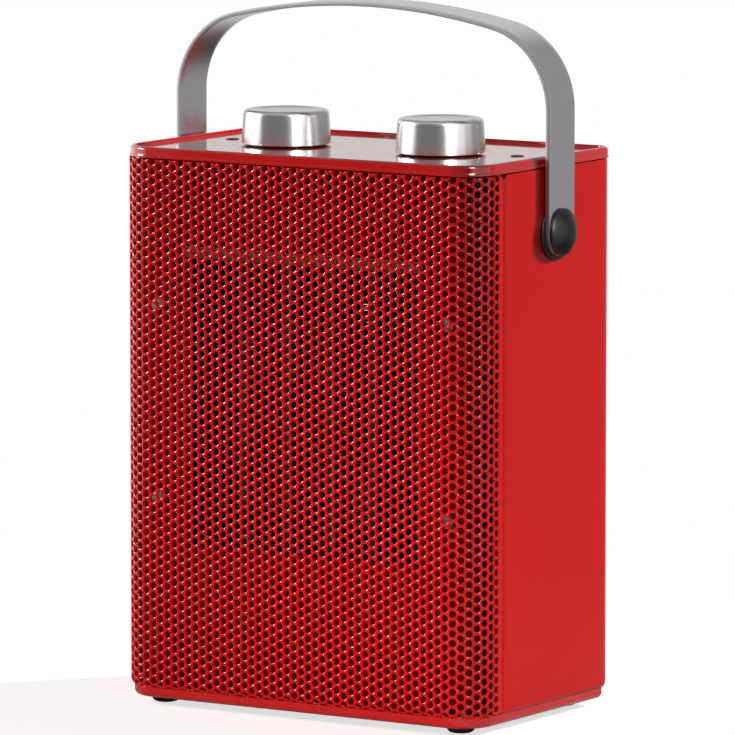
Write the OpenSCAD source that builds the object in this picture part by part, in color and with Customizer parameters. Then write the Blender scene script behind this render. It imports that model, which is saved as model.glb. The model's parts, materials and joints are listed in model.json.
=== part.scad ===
// Portable fan heater: a sheet steel case with a perforated front, a ceramic heating
// block with a fan behind it, two control knobs on top and a swinging strap handle.
// Millimetres. The origin is on the floor under the middle of the case.
// X points to the right as seen from the front, Y to the back, Z up.

/* [Case] */
// Width across the sides of the sheet case
case_w = 180; // [170:1:200]
// Depth from the grille to the back edge of the cap
case_d = 112; // [106:1:126]
// Height from the floor to the rim of the cap
case_h = 238; // [234:1:260]
// Radius of the upright corners at the front
front_r = 16; // [14:0.5:17]
// Radius of the upright corners at the back
rear_r = 8; // [7:0.5:10]
// Thickness of the sheet steel
sheet_t = 0.8; // [0.6:0.1:1]
// Distance of the back sheet from the back edge of the cap
back_inset = 2; // [2:0.1:4]
// Length of the grille along each side, from the front face
grille_return = 21; // [18:0.5:22]
// Width of the joint between grille and shell
seam_gap = 0.4; // [0.2:0.1:0.8]
// Width of the strips behind the joints
strip_w = 10; // [8:1:12]
// Thickness of the strips behind the joints
strip_t = 1; // [0.8:0.1:1.5]
// Size of the clipped corners at the joints
seam_notch = 1.6; // [1:0.1:2.2]

/* [Grille] */
// Diameter of the holes
hole_d = 2.9; // [1.6:0.1:4]
// Distance between the holes of a column, twice that of the fine sheet
hole_pitch = 8.2; // [7:0.1:14]
// Height of the plain edge above and below the holes
hole_edge = 5; // [4:0.5:10]
// Angle of the corner bends that the holes reach
hole_reach = 80; // [60:1:84]

/* [Inlet] */
// Height of the air slots in the back
slot_h = 4; // [3:0.5:5]
// Distance between the air slots
slot_pitch = 8; // [7:0.5:12]
// Width of the rib in the middle of the slots
slot_rib = 5; // [4:0.5:10]

/* [Base] */
// Height of the feet
foot_h = 3; // [2:0.5:6]
// Diameter of the feet
foot_d = 12; // [12:1:20]
// Thickness of the rubber that the foot screws clamp
foot_web = 1; // [0.6:0.1:1.4]
// Diameter of the screw bosses over the feet
foot_boss_d = 8; // [6:0.5:10]
// Distance of the feet from the sides of the case
foot_in_x = 16; // [16:1:30]
// Distance of the feet from the front and the back sheet
foot_in_y = 14; // [14:1:24]
// Height of the band that shows under the sheets
base_band = 4.5; // [4:0.5:8]
// Distance of the band from the face of the sheets
base_inset = 1.5; // [1.2:0.1:1.7]
// Thickness of the band
base_wall = 4.8; // [4:0.1:5]
// Rounding of the lower edge of the band
base_round = 2.5; // [1:0.1:3]
// Thickness of the floor
base_floor = 2; // [1.5:0.1:3]
// Height of the upstands inside the sheets
upstand_h = 12; // [11:0.5:16]
// Thickness of the upstands
upstand_t = 1.5; // [1:0.1:1.5]
// Distance that the hem of the sheets turns in, down to the band
hem = 1.7; // [1.5:0.1:2.5]
// Bend radius of the hem
hem_r = 3; // [2.5:0.1:6]

/* [Cap] */
// Height of the band of the cap
cap_band = 5; // [4.5:0.1:8]
// Distance of the cap from the face of the sheets
cap_inset = 0.6; // [0.2:0.1:0.6]
// Thickness of the rim
rim_t = 1.8; // [1.4:0.1:2.4]
// Depth of the top panel below the rim
recess = 1.4; // [1:0.1:3]
// Thickness of the top panel
panel_t = 1.5; // [1:0.1:1.6]
// Height of the skirt inside the shell, below the band
skirt_h = 6; // [5:0.5:7]
// Thickness of the skirt
skirt_t = 1.2; // [1:0.1:1.5]
// Distance of the top screws from the sides of the case
top_screw_x = 18.6; // [16:0.1:24]
// Length of the top screws below the bridge
top_screw_out = 3; // [2:0.5:6]
// Height of the flat heads of the top screws
flat_head_h = 0.5; // [0.4:0.1:1]

/* [Bridge] */
// Distance of the bridge below the skirt of the cap
bridge_drop = 1; // [0.5:0.5:5]
// Depth of the bridge
bridge_d = 50; // [46:1:60]
// Height of the legs of the bridge
bridge_leg = 36; // [34:1:44]
// Thickness of the bridge
bridge_t = 1.2; // [1:0.1:2]

/* [Outlet] */
// Width of the outlet
outlet_w = 114; // [110:1:118]
// Height of the outlet
outlet_h = 122; // [110:1:126]
// Height of the middle of the outlet and of the fan axis
fan_z = 130; // [122:1:136]
// Distance of the baffle from the front face
baffle_back = 7; // [7:0.1:9]
// Thickness of the baffle
baffle_t = 1; // [0.8:0.1:1.2]
// Distance of the baffle edges from the sides of the case
baffle_margin = 8; // [8:0.5:12]
// Depth of the bent sides of the baffle, which hide the inside behind the corners
baffle_return = 27; // [20:1:30]
// Distance of the baffle screws from the middle
baffle_screw_x = 72.5; // [70:0.5:75]
// Distance of the baffle screws above and below the fan axis
baffle_screw_z = 41; // [30:1:50]

/* [Heater] */
// Depth of the heater frame
heater_d = 20; // [18:0.5:22]
// Wall of the heater frame
heater_wall = 4; // [3:0.5:5]
// Thickness of the screw ears
ear_t = 3; // [2:0.5:4]
// Width of the screw ears around the screw heads
ear_margin = 3; // [2:0.5:4]
// Distance between the bars
bar_pitch = 22; // [20:0.5:24]
// Number of bars
bar_count = 6; // [4:2:6]
// Width of the bars
bar_w = 3; // [2:0.5:4]
// Gap between the outer bars and the frame
bar_side = 0.5; // [0.3:0.1:2]
// Depth of the bars
bar_d = 14; // [10:0.5:16]
// Distance between the fins
fin_pitch = 2.5; // [2.5:0.5:6]
// Thickness of the fins
fin_t = 0.4; // [0.3:0.1:0.6]
// Depth of the fins
fin_d = 14; // [8:0.5:14]
// Width of the terminal tabs
tab_w = 6.3; // [4.8:0.1:8]
// Height of the terminal tabs above the heater frame
tab_h = 12; // [8:1:16]
// Thickness of the terminal tabs
tab_t = 0.8; // [0.6:0.1:1.2]
// Diameter of the thermal cut-out
cutout_d = 14; // [10:1:18]
// Height of the thermal cut-out without its tabs
cutout_h = 6; // [4:0.5:8]
// Width of the ears of the thermal cut-out
cutout_ear = 2.5; // [2:0.1:3]

/* [Fan] */
// Diameter of the fan
fan_d = 100; // [90:1:104]
// Gap between the fan and the shroud
tip_gap = 2; // [1:0.5:4]
// Wall of the shroud
shroud_wall = 2; // [1.5:0.5:3]
// Length of the round part of the shroud
shroud_l = 30; // [28:1:32]
// Diameter of the hub
hub_d = 32; // [26:1:40]
// Length of the hub and of the fan
hub_l = 16; // [14:1:18]
// Distance of the hub from the shroud plate
hub_gap = 8; // [5:0.5:9]
// Number of blades
blade_count = 7; // [3:1:9]
// Thickness of the blades
blade_t = 2; // [1.5:0.1:3]
// Width of the blades
blade_chord = 24; // [16:1:25]
// Angle of the blades to the plane of the fan
blade_angle = 32; // [20:1:36]

/* [Motor] */
// Diameter of the motor
can_d = 36; // [32:1:44]
// Length of the motor
can_l = 28; // [25:1:30]
// Wall of the motor can
can_t = 1.5; // [1:0.1:2]
// Thickness of the motor magnets
magnet_t = 3; // [2:0.5:4]
// Gap between armature and magnets
air_gap = 0.5; // [0.3:0.1:0.8]
// Length of the magnets
magnet_l = 18; // [14:1:19]
// Diameter of the motor shaft
shaft_d = 4; // [3:0.1:5]
// Outer diameter of the bearings
bearing_d = 9; // [7:0.5:10]
// Length of the bearings
bearing_l = 4; // [3:0.5:5]
// Thickness of the motor end cap
end_cap_t = 3; // [2:0.5:4]
// Thickness of the motor bracket
bracket_t = 2; // [1.5:0.1:2.5]
// Width of the arms of the motor bracket
arm_w = 7; // [5:0.5:10]
// Diameter of the screw ears of shroud and bracket
lug_d = 9; // [8:0.5:11]

/* [Controls] */
// Distance of the knobs from the middle
knob_x = 38.6; // [34:0.1:42]
// Place of the knobs from front to back
knob_y = -2; // [-4:0.5:6]
// Diameter of the knobs at the foot
knob_d = 38; // [30:0.5:40]
// Draft of the knobs, on the diameter
knob_draft = 1.6; // [0:0.1:4]
// Height of the metal shell of the knobs
knob_h = 14.5; // [10:0.5:18]
// Rounding of the top edge of the knobs
knob_round = 2.2; // [1:0.1:3.5]
// Wall of the knob shells
knob_wall = 1.2; // [0.8:0.1:1.6]
// Depth of the dish in the top of the knobs
knob_dish = 0.4; // [0.2:0.1:1]
// Width of the dish edge
knob_lip = 2; // [1.5:0.1:3]
// Gap between the knob cores and the panel
knob_lift = 0.3; // [0.3:0.1:1]
// Height of the core that shows below the shell
core_show = 0.5; // [0.5:0.1:2]
// Diameter of the boss of the knob cores
core_boss_d = 12; // [10:0.5:14]
// Thickness of the knob cores above the shafts
core_roof = 1; // [0.6:0.1:2]
// Width of the pointer grooves
pointer_w = 1; // [0.6:0.1:2]
// Depth of the pointer grooves
pointer_deep = 0.4; // [0.2:0.1:0.5]
// Diameter of the control shafts
spindle_d = 6; // [5:0.5:6.5]
// Diameter of the threaded bushes
bush_d = 9; // [8.5:0.5:10]
// Length of the bushes above the bridge
bush_l = 5; // [4:0.5:6]
// Width of the control bodies
control_w = 26; // [20:1:30]
// Height of the control bodies
control_h = 18; // [14:1:24]
// Depth of the spindles in the control bodies
spindle_in = 10; // [6:1:12]
// Height of the control nuts
nut_h = 2.5; // [2:0.5:3.5]
// Width of the control nuts across the corners
nut_d = 14; // [13:0.5:18]

/* [Handle] */
// Place of the pivots from front to back
pivot_y = 6; // [0:0.5:8]
// Distance of the pivots below the rim of the cap
pivot_drop = 32; // [28:0.5:34]
// Width of the strap
strap_w = 20; // [16:1:24]
// Thickness of the strap
strap_t = 2; // [1.5:0.1:3]
// Height of the arch above the rim of the cap
handle_rise = 61; // [56:1:76]
// Radius of the top of the arch
arch_r = 300; // [220:5:400]
// Radius of the bends of the arch
bend_r = 36; // [28:1:40]
// Diameter of the pivot washers
washer_d = 24; // [20:1:28]
// Thickness of the pivot washers
washer_t = 1.2; // [0.8:0.1:3]
// Diameter of the pivot shoulders
shoulder_d = 8; // [7:0.5:10]
// Diameter of the pivot threads
bolt_d = 5; // [4:0.5:6]
// Diameter of the pivot bolt heads
head_d = 13; // [11:0.5:14]
// Height of the pivot bolt heads
head_h = 2; // [1.5:0.1:2.5]
// Diameter of the pivot caps
dome_d = 20; // [18:0.5:24]
// Height of the pivot caps
dome_h = 5; // [4:0.5:6]
// Straight edge of the pivot caps
dome_edge = 1; // [0.5:0.1:1.5]
// Width of the pivot nuts across the corners
pivot_nut_d = 9.2; // [8.5:0.1:11]
// Height of the pivot nuts
pivot_nut_h = 4; // [3:0.5:5]

/* [Supply] */
// Distance of the cord gland from the side of the case
gland_x = 30; // [24:1:40]
// Height of the cord gland above the floor
gland_z = 32; // [30:1:40]
// Bore of the cord gland
cord_bore = 7.4; // [6:0.1:8]
// Diameter of the neck of the gland
gland_neck = 12; // [11:0.5:13]
// Diameter of the flange of the gland
gland_flange = 16; // [15:0.5:18]
// Thickness of the flange of the gland
gland_flange_t = 1.6; // [1.2:0.1:1.8]
// Length of the neck inside the case
gland_in = 7; // [6:0.5:9]
// Height of the gland nut
gland_nut_h = 4; // [3:0.5:5]
// Width of the gland nut across the corners
gland_nut_d = 18; // [16:0.5:20]
// Length of the terminal block
terminal_l = 30; // [24:1:36]
// Depth of the terminal block
terminal_d = 16; // [12:1:20]
// Height of the terminal block
terminal_h = 14; // [10:1:18]
// Width of the tilt switch
tilt_w = 22; // [16:1:26]
// Depth of the tilt switch
tilt_d = 14; // [10:1:20]
// Height of the tilt switch
tilt_h = 16; // [10:1:24]
// Distance of terminal block and tilt switch from the middle
supply_x = 45; // [36:1:50]

/* [Screws] */
// Diameter of the small screws
screw_d = 3; // [2.5:0.5:3]
// Diameter of the small screw heads
screw_head_d = 5.6; // [5:0.1:6]
// Height of the small screw heads
screw_head_h = 1.6; // [1.2:0.1:1.8]
// Length of the small screws
screw_l = 8; // [7:0.5:9]
// Distance of the back screws from the sides of the case
rear_screw_x = 20; // [18:1:30]

/* [Clearances] */
// Gap around pieces that are fitted together
fit_gap = 0.2; // [0.1:0.05:0.3]
// Gap on the radius of shafts and pivots
run_gap = 0.05; // [0.03:0.01:0.1]
// Gap beside the strap at each pivot
side_play = 0.15; // [0.1:0.05:0.3]

/* [Hidden] */
$fn = 48;
// Distance that a cut runs past a face
past = 1;
y_front = -case_d / 2;
y_back = case_d / 2 - back_inset;
seam_y = y_front + grille_return;
foot_seat = foot_h - foot_web;
floor_z = foot_h + base_floor;
sheet_z = foot_h + base_band;
sheet_top = case_h - cap_band;
panel_z = case_h - recess;
panel_low = panel_z - panel_t;
skirt_low = sheet_top - skirt_h;
bridge_top = skirt_low - bridge_drop;
bridge_low = bridge_top - bridge_t;
side_in = case_w / 2 - sheet_t;
skirt_inset = sheet_t + fit_gap;
gland_place = case_w / 2 - gland_x;
rear_screw_place = case_w / 2 - rear_screw_x;
top_screw_place = case_w / 2 - top_screw_x;
hem_turn = acos(1 - hem / hem_r);
hem_rise = hem_r * sin(hem_turn);
upstand_inset = hem + sheet_t * cos(hem_turn) + fit_gap;
screw_low_z = sheet_z + hem_rise + screw_head_d / 2 + 2 * fit_gap;
screw_high_z = skirt_low + skirt_h / 2;
column_pitch = hole_pitch * sqrt(3) / 2;
flat_half = case_w / 2 - front_r;
baffle_y = y_front + baffle_back;
heater_y = baffle_y + baffle_t;
heater_end = heater_y + heater_d;
heater_mid = heater_y + heater_d / 2;
block_w = (bar_count - 1) * bar_pitch + bar_w + 2 * bar_side;
frame_w = block_w + 2 * heater_wall;
frame_h = outlet_h + 2 * heater_wall;
frame_top = fan_z + frame_h / 2;
bar_low = fan_z - outlet_h / 2;
bar_places = [for (i = [0 : bar_count - 1]) (i - (bar_count - 1) / 2) * bar_pitch];
tab_places = [for (i = [1 : 3]) bar_places[i]];
plate_t = shroud_wall;
bore_d = fan_d + 2 * tip_gap;
ring_d = bore_d + 2 * shroud_wall;
ring_end = heater_end + plate_t + shroud_l;
lug_r = ring_d / 2 + lug_d / 2 - shroud_wall / 2;
hub_y = heater_end + plate_t + hub_gap;
motor_y = ring_end + bracket_t;
motor_end = motor_y + can_l;
magnet_y = motor_y + (can_l - magnet_l) / 2;
magnet_in = can_d - 2 * can_t - 2 * magnet_t;
knob_z = panel_z + knob_lift + core_show;
knob_ceiling = knob_h - knob_dish - knob_wall;
spindle_low = bridge_low - spindle_in;
spindle_top = knob_z + knob_ceiling - core_roof;
pivot_z = case_h - pivot_drop;
washer_x = case_w / 2;
strap_x = washer_x + washer_t + side_play;
strap_out = strap_x + strap_t;
head_x = strap_out + side_play;
arch_top = case_h + handle_rise;
arch_half = asin((strap_out - bend_r) / (arch_r - bend_r));
bend_x = strap_out - bend_r;
bend_z = arch_top - arch_r + (arch_r - bend_r) * cos(arch_half);
foot_x = case_w / 2 - foot_in_x;
foot_places = [for (x = [-foot_x, foot_x], y = [y_front + foot_in_y, y_back - foot_in_y]) [x, y]];
red = [0.76, 0.06, 0.05];
steel = [0.6, 0.6, 0.62];
black = [0.07, 0.07, 0.07];
silver = [0.82, 0.82, 0.83];
brass = [0.75, 0.6, 0.3];
cream = [0.85, 0.83, 0.76];

// Points of an arc about a centre, from one angle to another
function arc(centre, r, from, to, steps = 6) =
  [for (i = [0 : steps]) let (a = from + (to - from) * i / steps) centre + r * [cos(a), sin(a)]];

// A straight stretch of wall. The profile's x points outwards and its y points up.
module run(x, y, outwards, length) {
  translate([x, y, 0])
    rotate([0, 0, outwards])
      translate([0, length, 0])
        rotate([90, 0, 0])
          linear_extrude(length) children();
}

// A quarter turn of wall about an upright axis
module turn(x, y, outwards, r) {
  translate([x, y, 0])
    rotate([0, 0, outwards])
      rotate_extrude(angle = 90) translate([r, 0]) children();
}

// Front wall with both front corners
module front_wall(inset) {
  r = front_r - inset;
  run(-flat_half, y_front + inset, -90, 2 * flat_half) children();
  turn(flat_half, y_front + front_r, -90, r) children();
  turn(-flat_half, y_front + front_r, 180, r) children();
}

// Both side walls, between two places from front to back
module side_walls(inset, from, to) {
  run(case_w / 2 - inset, from, 0, to - from) children();
  run(inset - case_w / 2, to, 180, to - from) children();
}

// Back wall with both back corners
module back_wall(inset, back, r) {
  half = case_w / 2 - inset - r;
  run(half, back, 90, 2 * half) children();
  turn(half, back - r, 0, r) children();
  turn(-half, back - r, 90, r) children();
}

// Wall all round the case
module wall_loop(inset, back, r) {
  front_wall(inset) children();
  side_walls(inset, y_front + front_r, back - r) children();
  back_wall(inset, back, r) children();
}

// Flat plate with the outline of the case
module case_plate(inset, back, r, z, height) {
  half = case_w / 2 - inset;
  front = y_front + inset;
  corner = front_r - inset;
  translate([0, 0, z]) {
    translate([-flat_half, front, 0]) cube([2 * flat_half, corner, height]);
    translate([-half, front + corner, 0]) cube([2 * half, back - r - front - corner, height]);
    translate([-half + r, back - r, 0]) cube([2 * half - 2 * r, r, height]);
    for (side = [0, 1]) mirror([side, 0, 0]) {
      translate([flat_half, front + corner, 0])
        rotate([0, 0, -90]) rotate_extrude(angle = 90) square([corner, height]);
      translate([half - r, back - r, 0]) rotate_extrude(angle = 90) square([r, height]);
    }
  }
}

// Puts a piece on both sides of the case
module on_both_sides() {
  for (side = [0, 1]) mirror([side, 0, 0]) children();
}

// Turns a piece made along Z to point backwards, on the fan axis
module on_fan_axis(y) {
  translate([0, y, fan_z]) rotate([-90, 0, 0]) children();
}

// Turns a piece made along Z to point backwards
module facing_back(x, y, z) {
  translate([x, y, z]) rotate([-90, 0, 0]) children();
}

// Turns a piece made along Z to point to the right, on the pivot axis
module on_pivot_axis(x) {
  translate([x, pivot_y, pivot_z]) rotate([0, 90, 0]) children();
}

// Round bar with a hole
module tube(outer, inner, length) {
  difference() {
    cylinder(d = outer, h = length);
    translate([0, 0, -past]) cylinder(d = inner, h = length + 2 * past);
  }
}

// Screw along Z, with its head above zero and its thread below
module screw(length = screw_l, head = screw_head_d, head_h = screw_head_h) {
  cylinder(d = head, h = head_h);
  translate([0, 0, -length]) cylinder(d = screw_d, h = length);
}

// Hole for the thread of a screw, along Z
module screw_hole(length, d = screw_d + 2 * fit_gap) {
  translate([0, 0, -length]) cylinder(d = d, h = 2 * length);
}

// Cross section of the sheets, with the hem whose edge stands on the base
module sheet_profile() {
  bend = [-hem_r, sheet_z + hem_rise];
  polygon(concat(
    [[-sheet_t, sheet_top], [0, sheet_top]],
    arc(bend, hem_r, 0, -hem_turn),
    arc(bend, hem_r - sheet_t, -hem_turn, 0)));
}

// Place on the grille at a distance along it from its middle: x, y and direction
function grille_place(along) =
  let (round = abs(along) - flat_half, side = sign(along))
  round <= 0
    ? [along, y_front, 0]
    : let (a = round / front_r * 180 / PI)
      [side * (flat_half + front_r * sin(a)), y_front + front_r - front_r * cos(a), side * a];

// Holes of the grille, in staggered columns round both corners
module grille_holes() {
  reach = flat_half + front_r * hole_reach * PI / 180;
  columns = floor(reach / column_pitch);
  low = sheet_z + hole_edge;
  high = sheet_top - hole_edge;
  rows = floor((high - low) / hole_pitch);
  first = (low + high - rows * hole_pitch) / 2;
  for (column = [-columns : columns], row = [0 : rows - abs(column % 2)])
    let (place = grille_place(column * column_pitch))
      translate([place[0], place[1], first + (row + abs(column % 2) / 2) * hole_pitch])
        rotate([0, 0, place[2]])
          rotate([90, 0, 0])
            translate([0, 0, -2 * sheet_t]) cylinder(d = hole_d, h = 4 * sheet_t, $fn = 24);
}

module front_grille() {
  color(red)
  difference() {
    union() {
      front_wall(0) sheet_profile();
      side_walls(0, y_front + front_r, seam_y - seam_gap / 2) sheet_profile();
    }
    grille_holes();
  }
}

// Slots of the air inlet, in a round field with a rib in the middle
module inlet_slots() {
  field_r = fan_d / 2;
  count = floor((field_r - slot_h) / slot_pitch);
  for (row = [-count : count])
    let (length = sqrt(pow(field_r, 2) - pow(abs(row) * slot_pitch + slot_h / 2, 2)))
      on_both_sides()
        translate([slot_rib / 2, y_back - 2 * sheet_t, fan_z + row * slot_pitch - slot_h / 2])
          cube([length - slot_rib / 2, 3 * sheet_t, slot_h]);
}

// Clipped corners of the shell, above and below at the joint
module joint_notches() {
  for (z = [sheet_top, sheet_z])
    translate([case_w / 2, seam_y, z])
      rotate([45, 0, 0])
        cube([2 * hem + 4 * sheet_t, 2 * seam_notch, 2 * seam_notch], center = true);
}

module rear_shell() {
  color(red)
  difference() {
    union() {
      side_walls(0, seam_y + seam_gap / 2, y_back - rear_r) sheet_profile();
      back_wall(0, y_back, rear_r) sheet_profile();
    }
    inlet_slots();
    on_both_sides() {
      joint_notches();
      on_pivot_axis(side_in - past) cylinder(d = bolt_d + 2 * fit_gap, h = sheet_t + 2 * past);
      for (z = [screw_low_z, screw_high_z])
        facing_back(rear_screw_place, y_back, z) screw_hole(2 * sheet_t);
    }
    facing_back(gland_place, y_back, gland_z) screw_hole(2 * sheet_t, gland_neck + 2 * fit_gap);
  }
}

// Strips behind the joints, from the corner bends backwards and between hem and skirt
module seam_strips() {
  low = sheet_z + hem_rise + fit_gap;
  color(steel)
  on_both_sides()
    translate([side_in - strip_t, y_front + front_r, low])
      cube([strip_t, strip_w, skirt_low - fit_gap - low]);
}

// Cross section of the band of the base, round at its lower edge
module base_profile() {
  polygon(concat(
    [[-base_wall, sheet_z], [-base_wall, foot_h]],
    arc([-base_round, foot_h + base_round], base_round, -90, 0),
    [[0, sheet_z]]));
}

// Upstands inside the sheets, all round but for the rear corners
module upstands() {
  back = y_back - upstand_inset;
  module upstand_profile() translate([-upstand_t, sheet_z]) square([upstand_t, upstand_h]);
  front_wall(upstand_inset) upstand_profile();
  side_walls(upstand_inset, y_front + front_r, y_back - rear_r) upstand_profile();
  run(case_w / 2 - rear_r, back, 90, case_w - 2 * rear_r) upstand_profile();
}

// Puts a piece at each of the four feet
module at_feet(z) {
  for (place = foot_places) translate([place[0], place[1], z]) children();
}

module base_tray() {
  boss_h = screw_l - base_floor;
  color(red)
  difference() {
    union() {
      wall_loop(base_inset, y_back - base_inset, rear_r - base_inset) base_profile();
      case_plate(base_inset + base_round, y_back - base_inset - base_round,
        rear_r - base_inset - base_round, foot_h, base_floor);
      upstands();
      at_feet(floor_z) cylinder(d = foot_boss_d, h = boss_h);
    }
    at_feet(foot_h) screw_hole(screw_l + past, screw_d);
    on_both_sides() facing_back(rear_screw_place, y_back, screw_low_z) screw_hole(screw_l, screw_d);
  }
}

module rubber_feet() {
  color(black)
  at_feet(0)
    difference() {
      tube(foot_d, screw_d + 2 * fit_gap, foot_h);
      translate([0, 0, -past]) cylinder(d = screw_head_d + 4 * fit_gap, h = foot_seat + past);
    }
}

module foot_screws() {
  color(steel)
  at_feet(foot_seat) mirror([0, 0, 1]) screw(head_h = foot_seat - 2 * fit_gap);
}

// Cross section of the rim of the cap, round at the top
module rim_profile() {
  polygon(concat(
    [[-rim_t, sheet_top], [0, sheet_top]],
    arc([-rim_t / 2, case_h - rim_t / 2], rim_t / 2, 0, 180, 8)));
}

module skirt_profile() {
  translate([-skirt_t, skirt_low]) square([skirt_t, panel_low - skirt_low]);
}

module top_cap() {
  boss_d = screw_head_d + 2;
  color(red)
  difference() {
    union() {
      wall_loop(cap_inset, case_d / 2, rear_r) rim_profile();
      case_plate(cap_inset + rim_t / 2, case_d / 2 - rim_t / 2, rear_r - rim_t / 2, panel_low, panel_t);
      side_walls(skirt_inset, seam_y, y_back - rear_r) skirt_profile();
      back_wall(skirt_inset, y_back - skirt_inset, rear_r - skirt_inset) skirt_profile();
      on_both_sides()
        translate([top_screw_place, pivot_y, bridge_top])
          cylinder(d = boss_d, h = panel_low - bridge_top + panel_t / 2);
    }
    on_both_sides() {
      translate([top_screw_place, pivot_y, panel_z]) screw_hole(panel_z - bridge_top + past);
      translate([knob_x, knob_y, panel_z]) screw_hole(2 * panel_t, spindle_d + 2);
      facing_back(rear_screw_place, y_back, screw_high_z) screw_hole(screw_l, screw_d);
    }
  }
}

module top_screws() {
  color(black)
  on_both_sides()
    translate([top_screw_place, pivot_y, panel_z])
      screw(panel_z - bridge_low + top_screw_out, head_h = flat_head_h);
}

module rear_screws() {
  color(black)
  on_both_sides()
    for (z = [screw_low_z, screw_high_z]) facing_back(rear_screw_place, y_back, z) screw();
}

module chassis_bridge() {
  color(steel)
  difference() {
    translate([0, pivot_y - bridge_d / 2, 0]) {
      translate([-side_in, 0, bridge_low]) cube([2 * side_in, bridge_d, bridge_t]);
      on_both_sides()
        translate([side_in - bridge_t, 0, bridge_top - bridge_leg]) cube([bridge_t, bridge_d, bridge_leg]);
    }
    on_both_sides() {
      translate([knob_x, knob_y, bridge_top]) screw_hole(2 * bridge_t, bush_d + 2 * fit_gap);
      translate([top_screw_place, pivot_y, bridge_top]) screw_hole(2 * bridge_t, screw_d);
      on_pivot_axis(side_in - bridge_t - past)
        cylinder(d = bolt_d + 2 * fit_gap, h = bridge_t + 2 * past);
    }
  }
}

// Puts a piece at each of the four baffle screws, pointing to the front
module at_baffle_screws(y) {
  for (x = [-baffle_screw_x, baffle_screw_x], z = [-baffle_screw_z, baffle_screw_z])
    translate([x, y, fan_z + z]) rotate([90, 0, 0]) children();
}

// Baffle behind the grille, with sides bent back up to the bridge. Below the hem it is narrower, to clear
// the corners of the base.
module front_baffle() {
  wide = case_w - 2 * baffle_margin;
  narrow = 2 * flat_half - baffle_margin;
  low = sheet_z + hem_rise;
  color(red)
  difference() {
    translate([0, baffle_y, 0]) {
      translate([-wide / 2, 0, low]) cube([wide, baffle_t, panel_low - low]);
      translate([-narrow / 2, 0, floor_z]) cube([narrow, baffle_t, low - floor_z + past]);
      on_both_sides()
        translate([wide / 2 - baffle_t, 0, low])
          cube([baffle_t, baffle_return, bridge_low - 2 * fit_gap - low]);
    }
    translate([-outlet_w / 2, baffle_y - past, bar_low]) cube([outlet_w, baffle_t + 2 * past, outlet_h]);
    at_baffle_screws(baffle_y) screw_hole(2 * baffle_t);
  }
}

module baffle_screws() {
  color(steel)
  at_baffle_screws(baffle_y) screw();
}

module heater_frame() {
  ear_w = 2 * baffle_screw_x + screw_head_d + 2 * ear_margin;
  ear_h = 2 * baffle_screw_z + screw_head_d + 2 * ear_margin;
  color(black)
  difference() {
    union() {
      translate([-frame_w / 2, heater_y, fan_z - frame_h / 2]) cube([frame_w, heater_d, frame_h]);
      translate([-ear_w / 2, heater_y, fan_z - ear_h / 2]) cube([ear_w, ear_t, ear_h]);
    }
    translate([-block_w / 2, heater_y - past, bar_low]) cube([block_w, heater_d + 2 * past, outlet_h]);
    at_baffle_screws(heater_y) screw_hole(2 * ear_t, screw_d);
    for (x = tab_places)
      translate([x - tab_w / 2 - fit_gap, heater_mid - tab_t / 2 - fit_gap, frame_top - heater_wall - past])
        cube([tab_w + 2 * fit_gap, tab_t + 2 * fit_gap, heater_wall + 2 * past]);
  }
}

module heater_bars() {
  color(silver)
  for (x = bar_places)
    translate([x - bar_w / 2, heater_mid - bar_d / 2, bar_low]) cube([bar_w, bar_d, outlet_h]);
}

// One folded strip between two bars: level fins, joined in turn at the right and the left
module fin_strip() {
  half = (bar_pitch - bar_w) / 2 - fit_gap / 2 - fin_t / 2;
  folds = floor((outlet_h - 2 * fin_t) / fin_pitch);
  edge = fin_t / 2;
  under = [for (i = [0 : folds]) let (z = i * fin_pitch + fin_t)
    each i % 2 == 0
      ? [[edge - half, z - edge], [half + edge, z - edge]]
      : [[half + edge, z + edge], [edge - half, z + edge]]];
  over = [for (i = [folds : -1 : 0]) let (z = i * fin_pitch + fin_t)
    each i % 2 == 0
      ? [[half - edge, z + edge], [-half - edge, z + edge]]
      : [[-half - edge, z - edge], [half - edge, z - edge]]];
  rotate([90, 0, 0])
    linear_extrude(fin_d, center = true) polygon(concat(under, over));
}

module heater_fins() {
  color(steel)
  for (i = [0 : bar_count - 2])
    translate([bar_places[i] + bar_pitch / 2, heater_mid, bar_low]) fin_strip();
}

module heater_terminals() {
  color(brass)
  for (x = tab_places)
    translate([x - tab_w / 2, heater_mid - tab_t / 2, frame_top - heater_wall])
      cube([tab_w, tab_t, heater_wall + tab_h]);
}

// Round cut-out on a plate with two ears, with two tabs on top
module thermal_cutout() {
  half = cutout_d / 2 + cutout_ear;
  plate_d = cutout_d / 2;
  color(steel)
  translate([block_w / 2 - half, heater_mid, frame_top]) {
    translate([-half, -plate_d / 2, 0]) cube([2 * half, plate_d, tab_t]);
    cylinder(d = cutout_d, h = cutout_h);
    for (x = [-cutout_d / 4, cutout_d / 4])
      translate([x - tab_t / 2, -tab_w / 2, 0]) cube([tab_t, tab_w, 2 * cutout_h]);
  }
}

// Puts a piece at each of the four screws between shroud and motor bracket
module at_lugs(y) {
  on_fan_axis(y)
    for (a = [45 : 90 : 315]) rotate([0, 0, a]) translate([lug_r, 0, 0]) children();
}

module fan_shroud() {
  lug_l = screw_l + 2;
  color(black)
  difference() {
    union() {
      translate([-frame_w / 2, heater_end, fan_z - frame_h / 2]) cube([frame_w, plate_t, frame_h]);
      on_fan_axis(heater_end) cylinder(d = ring_d, h = plate_t + shroud_l);
      at_lugs(ring_end - lug_l) cylinder(d = lug_d, h = lug_l);
    }
    on_fan_axis(heater_end - past) cylinder(d = bore_d, h = plate_t + shroud_l + 2 * past);
    at_lugs(ring_end) screw_hole(screw_l, screw_d);
  }
}

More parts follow.
